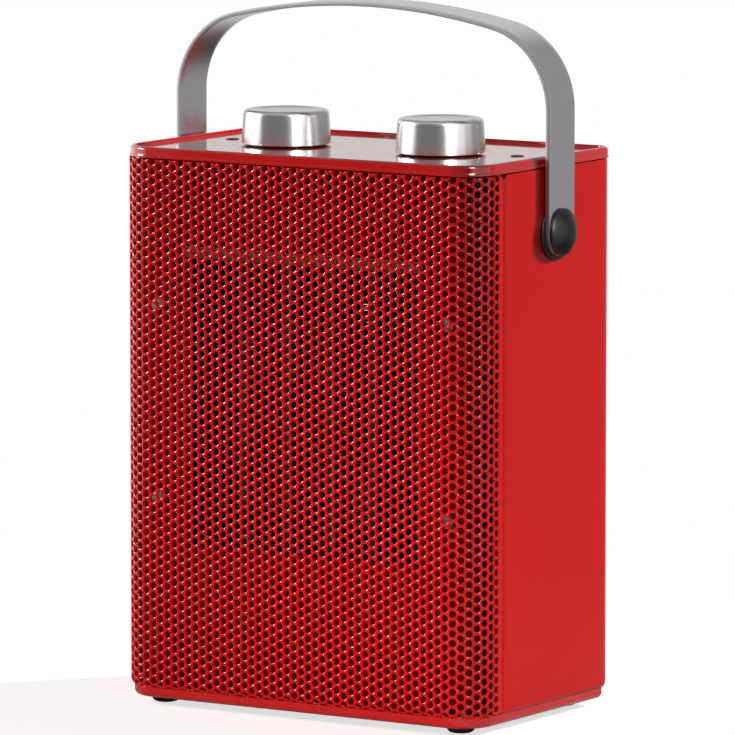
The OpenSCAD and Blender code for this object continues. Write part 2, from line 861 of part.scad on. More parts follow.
module motor_bracket() {
  disc_d = can_d + 2 * bracket_t;
  color(steel)
  difference() {
    union() {
      on_fan_axis(ring_end) {
        tube(ring_d, bore_d - 2 * bracket_t, bracket_t);
        cylinder(d = disc_d, h = bracket_t);
        for (a = [45 : 90 : 315])
          rotate([0, 0, a]) translate([0, -arm_w / 2, 0]) cube([lug_r, arm_w, bracket_t]);
      }
      at_lugs(ring_end) cylinder(d = lug_d, h = bracket_t);
    }
    on_fan_axis(ring_end - past) cylinder(d = bearing_d + 2 * fit_gap, h = bracket_t + 2 * past);
    at_lugs(ring_end) screw_hole(2 * bracket_t);
  }
}

module bracket_screws() {
  color(steel)
  at_lugs(motor_y) screw();
}

module motor_can() {
  color(silver)
  on_fan_axis(motor_y)
    difference() {
      cylinder(d = can_d, h = can_l);
      translate([0, 0, can_t]) cylinder(d = can_d - 2 * can_t, h = can_l);
      translate([0, 0, -past]) cylinder(d = bearing_d, h = can_l);
    }
}

module motor_magnets() {
  color(black)
  on_fan_axis(magnet_y) tube(can_d - 2 * can_t, magnet_in, magnet_l);
}

// End cap with a spigot in the motor can
module motor_end_cap() {
  spigot = 2;
  color(black)
  on_fan_axis(motor_end)
    difference() {
      union() {
        cylinder(d = can_d, h = end_cap_t);
        translate([0, 0, -spigot]) cylinder(d = can_d - 2 * can_t - 2 * fit_gap, h = spigot + end_cap_t);
      }
      translate([0, 0, -spigot - past]) cylinder(d = bearing_d, h = spigot + end_cap_t + 2 * past);
    }
}

module motor_bearings() {
  color(brass)
  for (y = [motor_y, motor_end + end_cap_t - bearing_l])
    on_fan_axis(y) tube(bearing_d, shaft_d + 2 * run_gap, bearing_l);
}

module motor_shaft() {
  color(steel)
  on_fan_axis(hub_y) cylinder(d = shaft_d, h = motor_end + end_cap_t - hub_y);
}

module motor_armature() {
  inset = 1;
  color(steel)
  on_fan_axis(magnet_y + inset) tube(magnet_in - 2 * air_gap, shaft_d, magnet_l - 2 * inset);
}

// One flat blade, rooted in the hub and trimmed to the round of the fan
module blade() {
  root = 2;
  intersection() {
    translate([0, 0, hub_l / 2])
      rotate([blade_angle, 0, 0])
        translate([hub_d / 2 - root, -blade_chord / 2, -blade_t / 2])
          cube([fan_d / 2, blade_chord, blade_t]);
    cylinder(d = fan_d, h = hub_l);
  }
}

module fan_rotor() {
  color(black)
  on_fan_axis(hub_y)
    difference() {
      union() {
        cylinder(d = hub_d, h = hub_l);
        for (i = [0 : blade_count - 1]) rotate([0, 0, i * 360 / blade_count]) blade();
      }
      translate([0, 0, -past]) cylinder(d = shaft_d, h = hub_l + 2 * past);
    }
}

// Control under the bridge: a body with a threaded bush and a blind bore for its shaft
module control_body(x) {
  color(black)
  translate([x, knob_y, 0])
    difference() {
      union() {
        translate([-control_w / 2, -control_w / 2, bridge_low - control_h])
          cube([control_w, control_w, control_h]);
        translate([0, 0, bridge_low - control_h]) cylinder(d = bush_d, h = control_h + bridge_t + bush_l);
      }
      translate([0, 0, spindle_low - fit_gap])
        cylinder(d = spindle_d + 2 * run_gap, h = spindle_in + bridge_t + bush_l + past);
    }
}

module control_shaft(x) {
  color(steel)
  translate([x, knob_y, spindle_low]) cylinder(d = spindle_d, h = spindle_top - spindle_low);
}

module thermostat_body() {
  control_body(-knob_x);
}

module thermostat_shaft() {
  control_shaft(-knob_x);
}

module selector_body() {
  control_body(knob_x);
}

module selector_shaft() {
  control_shaft(knob_x);
}

module control_nuts() {
  color(steel)
  on_both_sides()
    translate([knob_x, knob_y, bridge_top])
      difference() {
        cylinder(d = nut_d, h = nut_h, $fn = 6);
        translate([0, 0, -past]) cylinder(d = bush_d, h = nut_h + 2 * past);
      }
}

// Metal shell of a knob, with a pointer groove down its side and across its lip
module knob_shell(x, pointer) {
  foot_r = knob_d / 2;
  top_r = foot_r - knob_draft / 2;
  dish_r = top_r - knob_round - knob_lip;
  lean = atan((foot_r - top_r) / (knob_h - knob_round));
  color(silver)
  translate([x, knob_y, knob_z])
    difference() {
      rotate_extrude()
        polygon(concat(
          [[foot_r - knob_wall, 0], [foot_r, 0]],
          arc([top_r - knob_round, knob_h - knob_round], knob_round, 0, 90),
          [[dish_r + knob_dish, knob_h], [dish_r, knob_h - knob_dish], [0, knob_h - knob_dish],
            [0, knob_ceiling], [top_r - knob_round, knob_ceiling]]));
      rotate([0, 0, pointer]) {
        translate([foot_r - pointer_deep, -pointer_w / 2, 0])
          rotate([0, -lean, 0])
            translate([0, 0, -past]) cube([knob_round, pointer_w, knob_h + past]);
        translate([dish_r + knob_lip / 2, -pointer_w / 2, knob_h - pointer_deep])
          cube([knob_round + knob_lip, pointer_w, pointer_deep + past]);
      }
    }
}

// Plastic core of a knob: a disc that shows below the shell, and a boss on the shaft
module knob_core(x) {
  disc_in = 2;
  disc_d = knob_d - 2 * knob_wall - 2 * fit_gap - knob_draft;
  color(black)
  translate([x, knob_y, knob_z])
    difference() {
      union() {
        translate([0, 0, -core_show]) cylinder(d = disc_d, h = core_show + disc_in);
        cylinder(d = core_boss_d, h = knob_ceiling);
      }
      translate([0, 0, -core_show - past])
        cylinder(d = spindle_d, h = core_show + past + knob_ceiling - core_roof);
    }
}

module temp_knob_shell() {
  knob_shell(-knob_x, -90);
}

module temp_knob_core() {
  knob_core(-knob_x);
}

module mode_knob_shell() {
  knob_shell(knob_x, 0);
}

module mode_knob_core() {
  knob_core(knob_x);
}

// One edge of the arch, from the right pivot over the top to the left one
function arch_edge(inset) = concat(
  [[strap_out - inset, pivot_z]],
  arc([bend_x, bend_z], bend_r - inset, 0, 90 - arch_half, 16),
  arc([0, arch_top - arch_r], arch_r - inset, 90 - arch_half, 90 + arch_half, 16),
  arc([-bend_x, bend_z], bend_r - inset, 90 + arch_half, 180, 16),
  [[inset - strap_out, pivot_z]]);

// Points of a list in the opposite order
function backwards(points) = [for (i = [len(points) - 1 : -1 : 0]) points[i]];

module handle_strap() {
  color(steel)
  difference() {
    union() {
      translate([0, pivot_y, 0])
        rotate([90, 0, 0])
          linear_extrude(strap_w, center = true)
            polygon(concat(arch_edge(0), backwards(arch_edge(strap_t))));
      on_both_sides()
        on_pivot_axis(strap_x)
          rotate([0, 0, -90]) rotate_extrude(angle = 180) square([strap_w / 2, strap_t]);
    }
    on_both_sides()
      on_pivot_axis(strap_x - past) cylinder(d = shoulder_d + 2 * run_gap, h = strap_t + 2 * past);
  }
}

module pivot_washers() {
  color(black)
  on_both_sides() on_pivot_axis(washer_x) tube(washer_d, shoulder_d, washer_t);
}

module pivot_bolts() {
  thread = sheet_t + bridge_t + pivot_nut_h + past;
  color(steel)
  on_both_sides() {
    on_pivot_axis(washer_x) cylinder(d = shoulder_d, h = head_x - washer_x);
    on_pivot_axis(head_x) cylinder(d = head_d, h = head_h);
    on_pivot_axis(washer_x - thread) cylinder(d = bolt_d, h = thread);
  }
}

module pivot_nuts() {
  color(steel)
  on_both_sides()
    on_pivot_axis(side_in - bridge_t - pivot_nut_h)
      difference() {
        cylinder(d = pivot_nut_d, h = pivot_nut_h, $fn = 6);
        translate([0, 0, -past]) cylinder(d = bolt_d, h = pivot_nut_h + 2 * past);
      }
}

// Domed cap over the head of a pivot bolt
module pivot_caps() {
  rise = dome_h - dome_edge;
  half = dome_d / 2;
  ball = (half * half + rise * rise) / (2 * rise);
  color(black)
  on_both_sides()
    on_pivot_axis(head_x)
      difference() {
        rotate_extrude()
          polygon(concat(
            [[0, 0], [half, 0]],
            arc([0, dome_h - ball], ball, acos(half / ball), 90, 12)));
        translate([0, 0, -past]) cylinder(d = head_d, h = head_h + past);
      }
}

module cord_gland() {
  color(black)
  facing_back(gland_place, y_back, gland_z)
    difference() {
      union() {
        cylinder(d = gland_flange, h = gland_flange_t);
        translate([0, 0, -gland_in]) cylinder(d = gland_neck, h = gland_in + gland_flange_t);
      }
      translate([0, 0, -gland_in - past])
        cylinder(d = cord_bore, h = gland_in + gland_flange_t + 2 * past);
    }
}

module gland_nut() {
  color(black)
  facing_back(gland_place, y_back - sheet_t - gland_nut_h, gland_z)
    difference() {
      cylinder(d = gland_nut_d, h = gland_nut_h, $fn = 6);
      translate([0, 0, -past]) cylinder(d = gland_neck, h = gland_nut_h + 2 * past);
    }
}

// Terminal block with three poles, each with a wire hole and a screw hole
module terminal_block() {
  pole = terminal_l / 3;
  wire_d = pole * 0.45;
  clamp_d = pole * 0.4;
  color(cream)
  translate([-supply_x, y_back - foot_in_y - terminal_d, floor_z])
    difference() {
      translate([-terminal_l / 2, 0, 0]) cube([terminal_l, terminal_d, terminal_h]);
      for (x = [-pole, 0, pole]) {
        translate([x, -past, terminal_h / 2])
          rotate([-90, 0, 0]) cylinder(d = wire_d, h = terminal_d + 2 * past);
        translate([x, terminal_d / 2, terminal_h / 2]) cylinder(d = clamp_d, h = terminal_h);
      }
    }
}

module tilt_switch() {
  color(black)
  translate([supply_x - tilt_w / 2, y_front + foot_in_y + foot_d, floor_z]) cube([tilt_w, tilt_d, tilt_h]);
}

base_tray();
rubber_feet();
foot_screws();
front_grille();
rear_shell();
seam_strips();
top_cap();
top_screws();
rear_screws();
chassis_bridge();
front_baffle();
baffle_screws();
heater_frame();
heater_bars();
heater_fins();
heater_terminals();
thermal_cutout();
fan_shroud();
motor_bracket();
bracket_screws();
motor_can();
motor_magnets();
motor_end_cap();
motor_bearings();
motor_shaft();
motor_armature();
fan_rotor();
thermostat_body();
thermostat_shaft();
selector_body();
selector_shaft();
control_nuts();
temp_knob_shell();
temp_knob_core();
mode_knob_shell();
mode_knob_core();
handle_strap();
pivot_washers();
pivot_bolts();
pivot_nuts();
pivot_caps();
cord_gland();
gland_nut();
terminal_block();
tilt_switch();
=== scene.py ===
"""Looks of a portable fan heater: sheet steel case with a perforated front, two knobs and a strap handle.

Lengths are in millimetres until a mesh is made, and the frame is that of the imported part:
+X to the right seen from the front, +Y to the back, +Z up, the origin on the floor under the case.
"""
import json
import logging
import math
from dataclasses import dataclass, field
from enum import Enum

import bmesh
import bpy
import numpy as np
from mathutils import Matrix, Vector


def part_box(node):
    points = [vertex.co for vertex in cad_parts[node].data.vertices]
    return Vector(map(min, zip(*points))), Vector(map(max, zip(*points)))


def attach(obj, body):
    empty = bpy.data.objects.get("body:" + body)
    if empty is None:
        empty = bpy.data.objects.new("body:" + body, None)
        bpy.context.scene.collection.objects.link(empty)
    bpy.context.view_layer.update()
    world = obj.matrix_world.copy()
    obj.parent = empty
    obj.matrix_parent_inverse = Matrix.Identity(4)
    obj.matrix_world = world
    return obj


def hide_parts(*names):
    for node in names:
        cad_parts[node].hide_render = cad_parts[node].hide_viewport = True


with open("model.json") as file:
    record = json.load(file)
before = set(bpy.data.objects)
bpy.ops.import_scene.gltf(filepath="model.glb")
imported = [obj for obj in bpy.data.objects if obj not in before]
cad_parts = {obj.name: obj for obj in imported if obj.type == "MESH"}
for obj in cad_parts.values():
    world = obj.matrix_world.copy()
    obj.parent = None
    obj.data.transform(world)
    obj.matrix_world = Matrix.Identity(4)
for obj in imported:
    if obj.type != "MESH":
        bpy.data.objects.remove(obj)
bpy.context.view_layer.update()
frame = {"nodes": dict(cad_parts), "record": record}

MM = 0.001
TINY = 1e-6
FULL_TURN = 2 * math.pi
QUARTER_TURN = math.pi / 2
IMAGE_SIDE = 735
log = logging.getLogger("heater")


class Axis(Enum):
    """Direction in which the profile of a turned piece rises, as three unit vectors: u, v and w."""

    UP = ((1, 0, 0), (0, 1, 0), (0, 0, 1))
    RIGHT = ((0, 1, 0), (0, 0, 1), (1, 0, 0))
    LEFT = ((0, 0, 1), (0, 1, 0), (-1, 0, 0))
    BACK = ((0, 0, 1), (1, 0, 0), (0, 1, 0))


class Reach(Enum):
    """What the light of a lamp does: all, only highlights, or all but highlights."""

    ALL = "all"
    GLOSS = "gloss"
    PLAIN = "plain"


class Grain(Enum):
    """How the surface was made, which decides how its texture runs."""

    EVEN = "even"
    BRUSHED = "brushed"
    SPUN = "spun"


def linear(code: str) -> tuple[float, float, float, float]:
    """Turn an sRGB hex colour into linear light.

    Args:
        code: six hex digits.
    Returns:
        Red, green and blue from 0 to 1, and an alpha of 1.
    """
    parts = [int(code[i:i + 2], 16) / 255 for i in (0, 2, 4)]
    light = [c / 12.92 if c <= 0.04045 else ((c + 0.055) / 1.055) ** 2.4 for c in parts]
    return (*light, 1.0)


def add_node(tree: bpy.types.NodeTree, kind: str, settings: dict | None = None,
             **inputs: object) -> bpy.types.Node:
    """Add a shader node, set it up and link it.

    Args:
        tree: the node tree.
        kind: the node's type name, without ShaderNode in front.
        settings: attributes of the node itself.
        inputs: one value or output socket for each input. A name such as i0 gives the input's number,
            and in other names an underscore stands for a space.
    Returns:
        The new node.
    """
    node = tree.nodes.new("ShaderNode" + kind)
    for key, value in (settings or {}).items():
        setattr(node, key, value)
    for key, value in inputs.items():
        socket = node.inputs[int(key[1:]) if key[1:].isdigit() else key.replace("_", " ")]
        if isinstance(value, bpy.types.NodeSocket):
            tree.links.new(value, socket)
        else:
            socket.default_value = value
    return node


@dataclass(frozen=True)
class Finish:
    """One material: what it is, how it was made and what that gives the eye.

    Attributes:
        name: the material's common name and how it was made.
        colour: main colour, and shade: the colour that the texture drifts to.
        rough: lowest and highest roughness.
        grain_mm: width of one grain of the texture.
        bump_mm: height of the grain.
        grain: how the texture runs, and stretch: how many times longer than wide a brushed grain is.
        metallic, ior, coat, coat_rough, specular: shader values for the whole surface; a metal keeps the
            default IOR.
        centre: middle of a spun piece, in millimetres.
    """

    name: str
    colour: str
    shade: str
    rough: tuple[float, float]
    grain_mm: float
    bump_mm: float
    grain: Grain = Grain.EVEN
    stretch: float = 40.0
    metallic: float = 0.0
    ior: float = 1.5
    coat: float = 0.0
    coat_rough: float = 0.03
    specular: float = 0.5
    centre: tuple[float, float] = (0.0, 0.0)

    def grain_field(self, tree: bpy.types.NodeTree) -> bpy.types.NodeSocket:
        """Add the texture that colour, roughness and bump share.

        An even grain is noise in space. A brushed one is noise on the piece's own map, long along it.
        A spun one is noise of the distance from the axis and the height, which gives fine rings.

        Args:
            tree: the material's node tree.
        Returns:
            The texture's value, from 0 to 1.
        """
        place = add_node(tree, "TexCoord")
        fine = 1 / (self.grain_mm * MM)
        at, scale = place.outputs["Object"], (fine,) * 3
        if self.grain is Grain.BRUSHED:
            at, scale = place.outputs["UV"], (fine / self.stretch, fine, fine)
        elif self.grain is Grain.SPUN:
            x, y = self.centre
            near = add_node(tree, "Mapping", Vector=at, Location=(-x * MM, -y * MM, 0)).outputs[0]
            flat = add_node(tree, "VectorMath", {"operation": "MULTIPLY"}, i0=near, i1=(1, 1, 0))
            reach = add_node(tree, "VectorMath", {"operation": "LENGTH"}, i0=flat.outputs[0])
            height = add_node(tree, "SeparateXYZ", Vector=near)
            at = add_node(tree, "CombineXYZ", X=reach.outputs["Value"], Z=height.outputs["Z"]).outputs[0]
        at = add_node(tree, "Mapping", Vector=at, Scale=scale).outputs[0]
        return add_node(tree, "TexNoise", Vector=at, Scale=1.0, Detail=3.0, Roughness=0.55).outputs[0]

    def material(self) -> bpy.types.Material:
        """Make the material, or return it if it is there already.

        Returns:
            A node material with its own colour drift, roughness and bump.
        """
        made = bpy.data.materials.get(self.name)
        if made:
            return made
        made = bpy.data.materials.new(self.name)
        made.use_nodes = True
        tree = made.node_tree
        tree.nodes.clear()
        grain = self.grain_field(tree)
        tint = add_node(tree, "Mix", {"data_type": "RGBA"}, Factor=grain, A=linear(self.colour),
                        B=linear(self.shade))
        rough = add_node(tree, "MapRange", Value=grain, i3=self.rough[0], i4=self.rough[1])
        bump = add_node(tree, "Bump", Height=grain, Distance=self.bump_mm * MM, Strength=1.0)
        shader = add_node(tree, "BsdfPrincipled", Base_Color=tint.outputs["Result"], IOR=self.ior,
                          Roughness=rough.outputs[0], Normal=bump.outputs[0], Metallic=self.metallic,
                          Coat_Weight=self.coat, Coat_Roughness=self.coat_rough,
                          Specular_IOR_Level=self.specular)
        add_node(tree, "OutputMaterial", Surface=shader.outputs[0])
        return made


# Baked gloss enamel on sheet steel: deep red under a clear skin, with a faint orange peel of about 2 mm.
RED_ENAMEL = Finish("baked_enamel_on_sheet_steel", "C40D0A", "CC0F0B", (0.22, 0.28), 2.0, 0.004,
                    coat=0.1, coat_rough=0.06, specular=0.2)
# The same enamel on the perforated sheet, which was dipped: a thicker skin with glints on the hole rims.
DIPPED_ENAMEL = Finish("dipped_enamel_on_perforated_steel", "C40C09", "CC0E0A", (0.25, 0.32), 2.0, 0.003,
                       coat=0.45, coat_rough=0.05, specular=0.1)
# Matt black on the strips behind the joints: painted shade that swallows the light there, so that the joints
# look dark.
JOINT_SHADE_BLACK = Finish("matt_black_painted_joint_shade", "060606", "0B0B0B", (0.8, 0.9), 1.0, 0.004,
                       specular=0.1)
# Bare dull zinc strip between grille and baffle; its brownish red tint is painted light from the red enamel
# around it.
RED_LIT_ZINC_STRIP = Finish("zinc_strip_with_painted_red_light", "8E605B", "9A6B66", (0.45, 0.55), 1.2, 0.004, metallic=1.0)
# The sheet behind the grille, seen through the holes: darker than the enamel as painted shade of the dark
# inside, and duller.
SHADED_BAFFLE_RED = Finish("red_enamel_darkened_as_painted_shade", "740604", "7C0705", (0.75, 0.85), 1.2, 0.006,
                    specular=0.08)
# Moulded gloss ABS: nearly the same red, smoother, so that the panel mirrors what stands behind it.
RED_ABS = Finish("moulded_gloss_abs_red", "C20C09", "CA0E0A", (0.14, 0.20), 3.0, 0.0015,
                 coat=1.0, coat_rough=0.03, specular=0.3)
# Stainless strip, brushed along its length: grey with fine long lines that stretch the highlights.
STRAP_STEEL = Finish("brushed_stainless_strip", "D2D2D6", "DEDEE2", (0.22, 0.30), 0.35, 0.002,
                     Grain.BRUSHED, metallic=1.0)
# The edges of that strip, tumbled after it was cut: rougher than its faces, and darker as painted shade.
STRAP_EDGE_SHADED = Finish("tumbled_stainless_edge_painted_shade", "96969A", "A2A2A6", (0.45, 0.55), 0.4, 0.003, metallic=1.0)
# Zinc-plated steel: light grey, a little cloudy.
PLAIN_STEEL = Finish("zinc_plated_steel", "A9ABAD", "BBBDBE", (0.28, 0.42), 1.5, 0.004, metallic=1.0)
# Black oxide steel: a thin oiled skin, darker than paint and with a low sheen.
BLACK_STEEL = Finish("black_oxide_steel", "121213", "1B1B1C", (0.35, 0.5), 0.8, 0.004, ior=1.6)
# Plain aluminium sheet and extrusion, dark and dull from heat.
HEATER_ALUMINIUM = Finish("heat_dulled_aluminium", "404140", "4C4D4B", (0.5, 0.65), 0.8, 0.006, metallic=1.0)
# Drawn brass: warm yellow, slightly tarnished.
BRASS = Finish("drawn_brass", "B79A52", "C7AB63", (0.3, 0.42), 0.8, 0.003, metallic=1.0)
# Glass-filled nylon: matt black with a fine moulded grain.
BLACK_PLASTIC = Finish("moulded_black_nylon", "0D0D0E", "161617", (0.38, 0.5), 0.5, 0.006)
# Satin black ABS: a soft highlight on a fine moulded texture.
CAP_PLASTIC = Finish("satin_black_abs", "050506", "0A0A0B", (0.34, 0.42), 0.7, 0.004)
# Cream urea resin, as terminal blocks are pressed from.
CREAM_PLASTIC = Finish("pressed_cream_resin", "D8D2BC", "CCC5AC", (0.4, 0.55), 1.2, 0.004)
# Moulded rubber: black, dull, with a soft grain.
FOOT_RUBBER = Finish("moulded_black_rubber", "0B0B0B", "151515", (0.65, 0.8), 0.6, 0.01)
# Sintered ferrite: dark grey and stony.
FERRITE = Finish("sintered_ferrite", "2B2B2D", "38383A", (0.6, 0.75), 0.5, 0.01)
# Screen-printed dark ink, duller than the panel, so that it stays dark where the panel mirrors white.
DARK_INK = Finish("screen_printed_dark_ink", "2A0807", "330B09", (0.55, 0.65), 0.4, 0.001)


def spun_aluminium(x: float, y: float) -> Finish:
    """Give the satin anodised aluminium of a knob, turned about its own axis, so that fine rings show."""
    side = "left" if x < 0 else "right"
    return Finish(f"satin_anodised_aluminium_{side}", "D2D2D3", "DCDCDD", (0.22, 0.28), 0.22, 0.0010,
                  Grain.SPUN, metallic=1.0, centre=(x, y))


SLOT_FINISHES: dict[str, Finish] = {
    "red_enamel": RED_ENAMEL, "red_plastic": RED_ABS, "strap_steel": STRAP_STEEL, "plain_steel": PLAIN_STEEL,
    "black_steel": BLACK_STEEL, "knob_metal": PLAIN_STEEL, "heater_aluminium": HEATER_ALUMINIUM,
    "brass": BRASS, "black_plastic": BLACK_PLASTIC, "cap_plastic": CAP_PLASTIC,
    "cream_plastic": CREAM_PLASTIC, "foot_rubber": FOOT_RUBBER, "ferrite": FERRITE,
}


@dataclass
class Skin:
    """A surface: points in millimetres, faces as rows of four point numbers, and caps with more corners."""

    points: np.ndarray
    faces: np.ndarray
    caps: list[list[int]] = field(default_factory=list)

    @staticmethod
    def grid(points: np.ndarray, close_u: bool = False) -> "Skin":
        """Make a surface from points on a grid.

        Each face joins (u, v), (u + 1, v), (u + 1, v + 1) and (u, v + 1), so it points along du x dv.

        Args:
            points: array of u by v by 3.
            close_u: whether the last row joins the first.
        Returns:
            The surface.
        """
        number = np.arange(points[..., 0].size).reshape(points.shape[:2])
        if close_u:
            number = np.vstack([number, number[:1]])
        faces = np.stack([number[:-1, :-1], number[1:, :-1], number[1:, 1:], number[:-1, 1:]], -1)
        return Skin(points.reshape(-1, 3), faces.reshape(-1, 4))

    @staticmethod
    def joined(*skins: "Skin") -> "Skin":
        """Put several surfaces into one.

        Args:
            skins: the surfaces, in order.
        Returns:
            One surface.
        """
        start = np.cumsum([0] + [len(s.points) for s in skins])
        caps = [[i + int(base) for i in cap] for s, base in zip(skins, start) for cap in s.caps]
        return Skin(np.vstack([s.points for s in skins]),
                    np.vstack([s.faces + base for s, base in zip(skins, start)]), caps)

    def welded(self, step: float = 0.0005, least: float = 1e-7) -> tuple[np.ndarray, list[list[int]]]:
        """Join points that lie together, and drop the corners and faces that this leaves empty.

        Args:
            step: distance, in millimetres, below which points count as one.
            least: twice the smallest area of a face that stays.
        Returns:
            Points, and faces as lists of point numbers.
        """
        keys = np.round(self.points / step).astype(np.int64)
        _, first, back = np.unique(keys, axis=0, return_index=True, return_inverse=True)
        back = back.reshape(-1)
        faces = back[self.faces]
        keep = faces != np.roll(faces, 1, axis=1)
        corner = self.points[first][faces]
        cross = np.cross(corner[:, 2] - corner[:, 0], corner[:, 3] - corner[:, 1])
        good = np.linalg.norm(cross, axis=1) > least
        rows = [[int(i) for i, k in zip(row, used) if k] for row, used in zip(faces[good], keep[good])]
        rows += [[int(back[i]) for i in cap] for cap in self.caps]
        return self.points[first], [row for row in rows if len(row) > 2]

    def mesh(self, name: str) -> bpy.types.Mesh:
        """Make a mesh, in metres, of the welded surface.

        Args:
            name: name of the mesh.
        Returns:
            The mesh.
        """
        points, faces = self.welded()
        made = bpy.data.meshes.new(name)
        made.from_pydata((points * MM).tolist(), [], faces)
        return made


def show(name: str, data: bpy.types.ID) -> bpy.types.Object:
    """Put a mesh, lamp or camera into the scene.

    Args:
        name: name of the object.
        data: what it shows.
    Returns:
        The new object.
    """
    made = bpy.data.objects.new(name, data)
    bpy.context.scene.collection.objects.link(made)
    return made


def add_piece(name: str, shape: Skin | bpy.types.Mesh, finish: Finish, sharp: float = 40.0,
              replaces: tuple[str, ...] = (), body: str = "case") -> bpy.types.Object:
    """Put a surface or a finished mesh into the scene as a piece of the object.

    Args:
        name: name of the piece.
        shape: its surface or mesh.
        finish: its material.
        sharp: angle in degrees above which an edge isn't smoothed over.
        replaces: nodes of the part that the piece stands for.
        body: the body that it moves with.
    Returns:
        The new object.
    """
    mesh = shape.mesh(name) if isinstance(shape, Skin) else shape
    mesh.polygons.foreach_set("use_smooth", np.ones(len(mesh.polygons), bool))
    mesh.set_sharp_from_angle(angle=math.radians(sharp))
    mesh.materials.append(finish.material())
    piece = show(name, mesh)
    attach(piece, body)
    if replaces:
        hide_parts(*replaces)
    log.info("%s: %d faces on %s", name, len(mesh.polygons), body)
    return piece


def add_wall(piece: bpy.types.Object, thick: float, edge: float, rim_finish: Finish | None = None) -> None:
    """Give a sheet its thickness inwards and break its edges.

    Args:
        piece: the sheet, which shows its outer face.
        thick: thickness in millimetres.
        edge: width of the broken edges in millimetres.
        rim_finish: finish of the cut edges, if it isn't the one of the faces.
    """
    wall = piece.modifiers.new("thickness", "SOLIDIFY")
    wall.thickness = thick * MM
    wall.offset = -1.0
    wall.use_even_offset = True
    if rim_finish:
        piece.data.materials.append(rim_finish.material())
        wall.material_offset_rim = 1
    rim = piece.modifiers.new("broken_edges", "BEVEL")
    rim.width = edge * MM
    rim.segments = 2
    rim.limit_method = "ANGLE"
    rim.angle_limit = math.radians(50)


def arc(x: float, y: float, r: float, start: float, end: float, steps: int) -> np.ndarray:
    """Give the points of an arc: centre + r (cos a, sin a), with a in degrees from start to end."""
    a = np.radians(np.linspace(start, end, steps + 1))
    return np.column_stack([x + r * np.cos(a), y + r * np.sin(a)])


def turned(profile: np.ndarray, centre: tuple[float, float, float], axis: Axis, steps: int = 72) -> Skin:
    """Turn a profile about an axis.

    A point (r, h) of the profile goes to centre + r (cos a u + sin a v) + h w. The profile runs from the
    foot up the outside to the top, so that the faces point outwards.

    Args:
        profile: rows of radius and height.
        centre: foot of the axis.
        axis: direction of the axis.
        steps: number of steps round the axis.
    Returns:
        The surface, with its poles closed by the weld.
    """
    u, v, w = (np.array(e, float) for e in axis.value)
    a = np.linspace(0, FULL_TURN, steps, endpoint=False)[:, None, None]
    r, h = profile[None, :, 0, None], profile[None, :, 1, None]
    return Skin.grid(np.array(centre) + r * (np.cos(a) * u + np.sin(a) * v) + h * w, close_u=True)


@dataclass
class Outline:
    """Plan of the case: a rectangle with round corners, seen from above."""

    half: float = 90.0
    front: float = -56.0
    back: float = 54.0
    front_r: float = 16.0
    rear_r: float = 8.0

    def front_arc(self) -> float:
        """Length along the outline from the middle of the front to the end of a corner bend."""
        return self.half - self.front_r + self.front_r * QUARTER_TURN

    def at(self, along: np.ndarray) -> tuple[np.ndarray, np.ndarray]:
        """Find places at a distance along the outline from the middle of the front.

        The front is straight up to the corner, the corner is an arc of angle (s - flat) / r and the side
        goes straight back. The left half mirrors the right one.

        Args:
            along: distances s, negative to the left.
        Returns:
            Points and outward normals, each with two columns.
        """
        s, side = np.abs(along), np.sign(along)
        flat = self.half - self.front_r
        a = np.clip((s - flat) / self.front_r, 0, QUARTER_TURN)
        x = np.minimum(s, flat) + self.front_r * np.sin(a)
        y = self.front + self.front_r * (1 - np.cos(a)) + np.maximum(s - self.front_arc(), 0)
        return np.stack([side * x, y], -1), np.stack([side * np.sin(a), -np.cos(a)], -1)

    def loop(self, steps: int = 14) -> tuple[np.ndarray, np.ndarray]:
        """Give the whole outline, anticlockwise from above.

        Args:
            steps: number of steps in each corner.
        Returns:
            Points and outward normals.
        """
        h, f, b, fr, rr = self.half, self.front, self.back, self.front_r, self.rear_r
        corners = ((h - fr, f + fr, fr, -90), (h - rr, b - rr, rr, 0),
                   (rr - h, b - rr, rr, 90), (fr - h, f + fr, fr, 180))
        points = np.vstack([arc(x, y, r, a, a + 90, steps) for x, y, r, a in corners])
        normals = np.vstack([arc(0, 0, 1, a, a + 90, steps) for *_, a in corners])
        return points, normals

    def swept(self, profile: np.ndarray) -> Skin:
        """Carry a profile of inset and height round the outline and close its two ends with flat faces.

        A point (i, z) of the profile goes to outline - i normal, at height z.

        Args:
            profile: rows of inset and height, from the lower end over the outside to the upper end.
        Returns:
            A closed body.
        """
        points, normals = self.loop()
        flat = points[:, None] - normals[:, None] * profile[None, :, :1]
        high = np.broadcast_to(profile[None, :, 1:], (*flat.shape[:2], 1))
        skin = Skin.grid(np.concatenate([flat, high], -1), close_u=True)
        number = np.arange(len(skin.points)).reshape(len(points), -1)
        skin.caps = [number[::-1, 0].tolist(), number[:, -1].tolist()]
        return skin


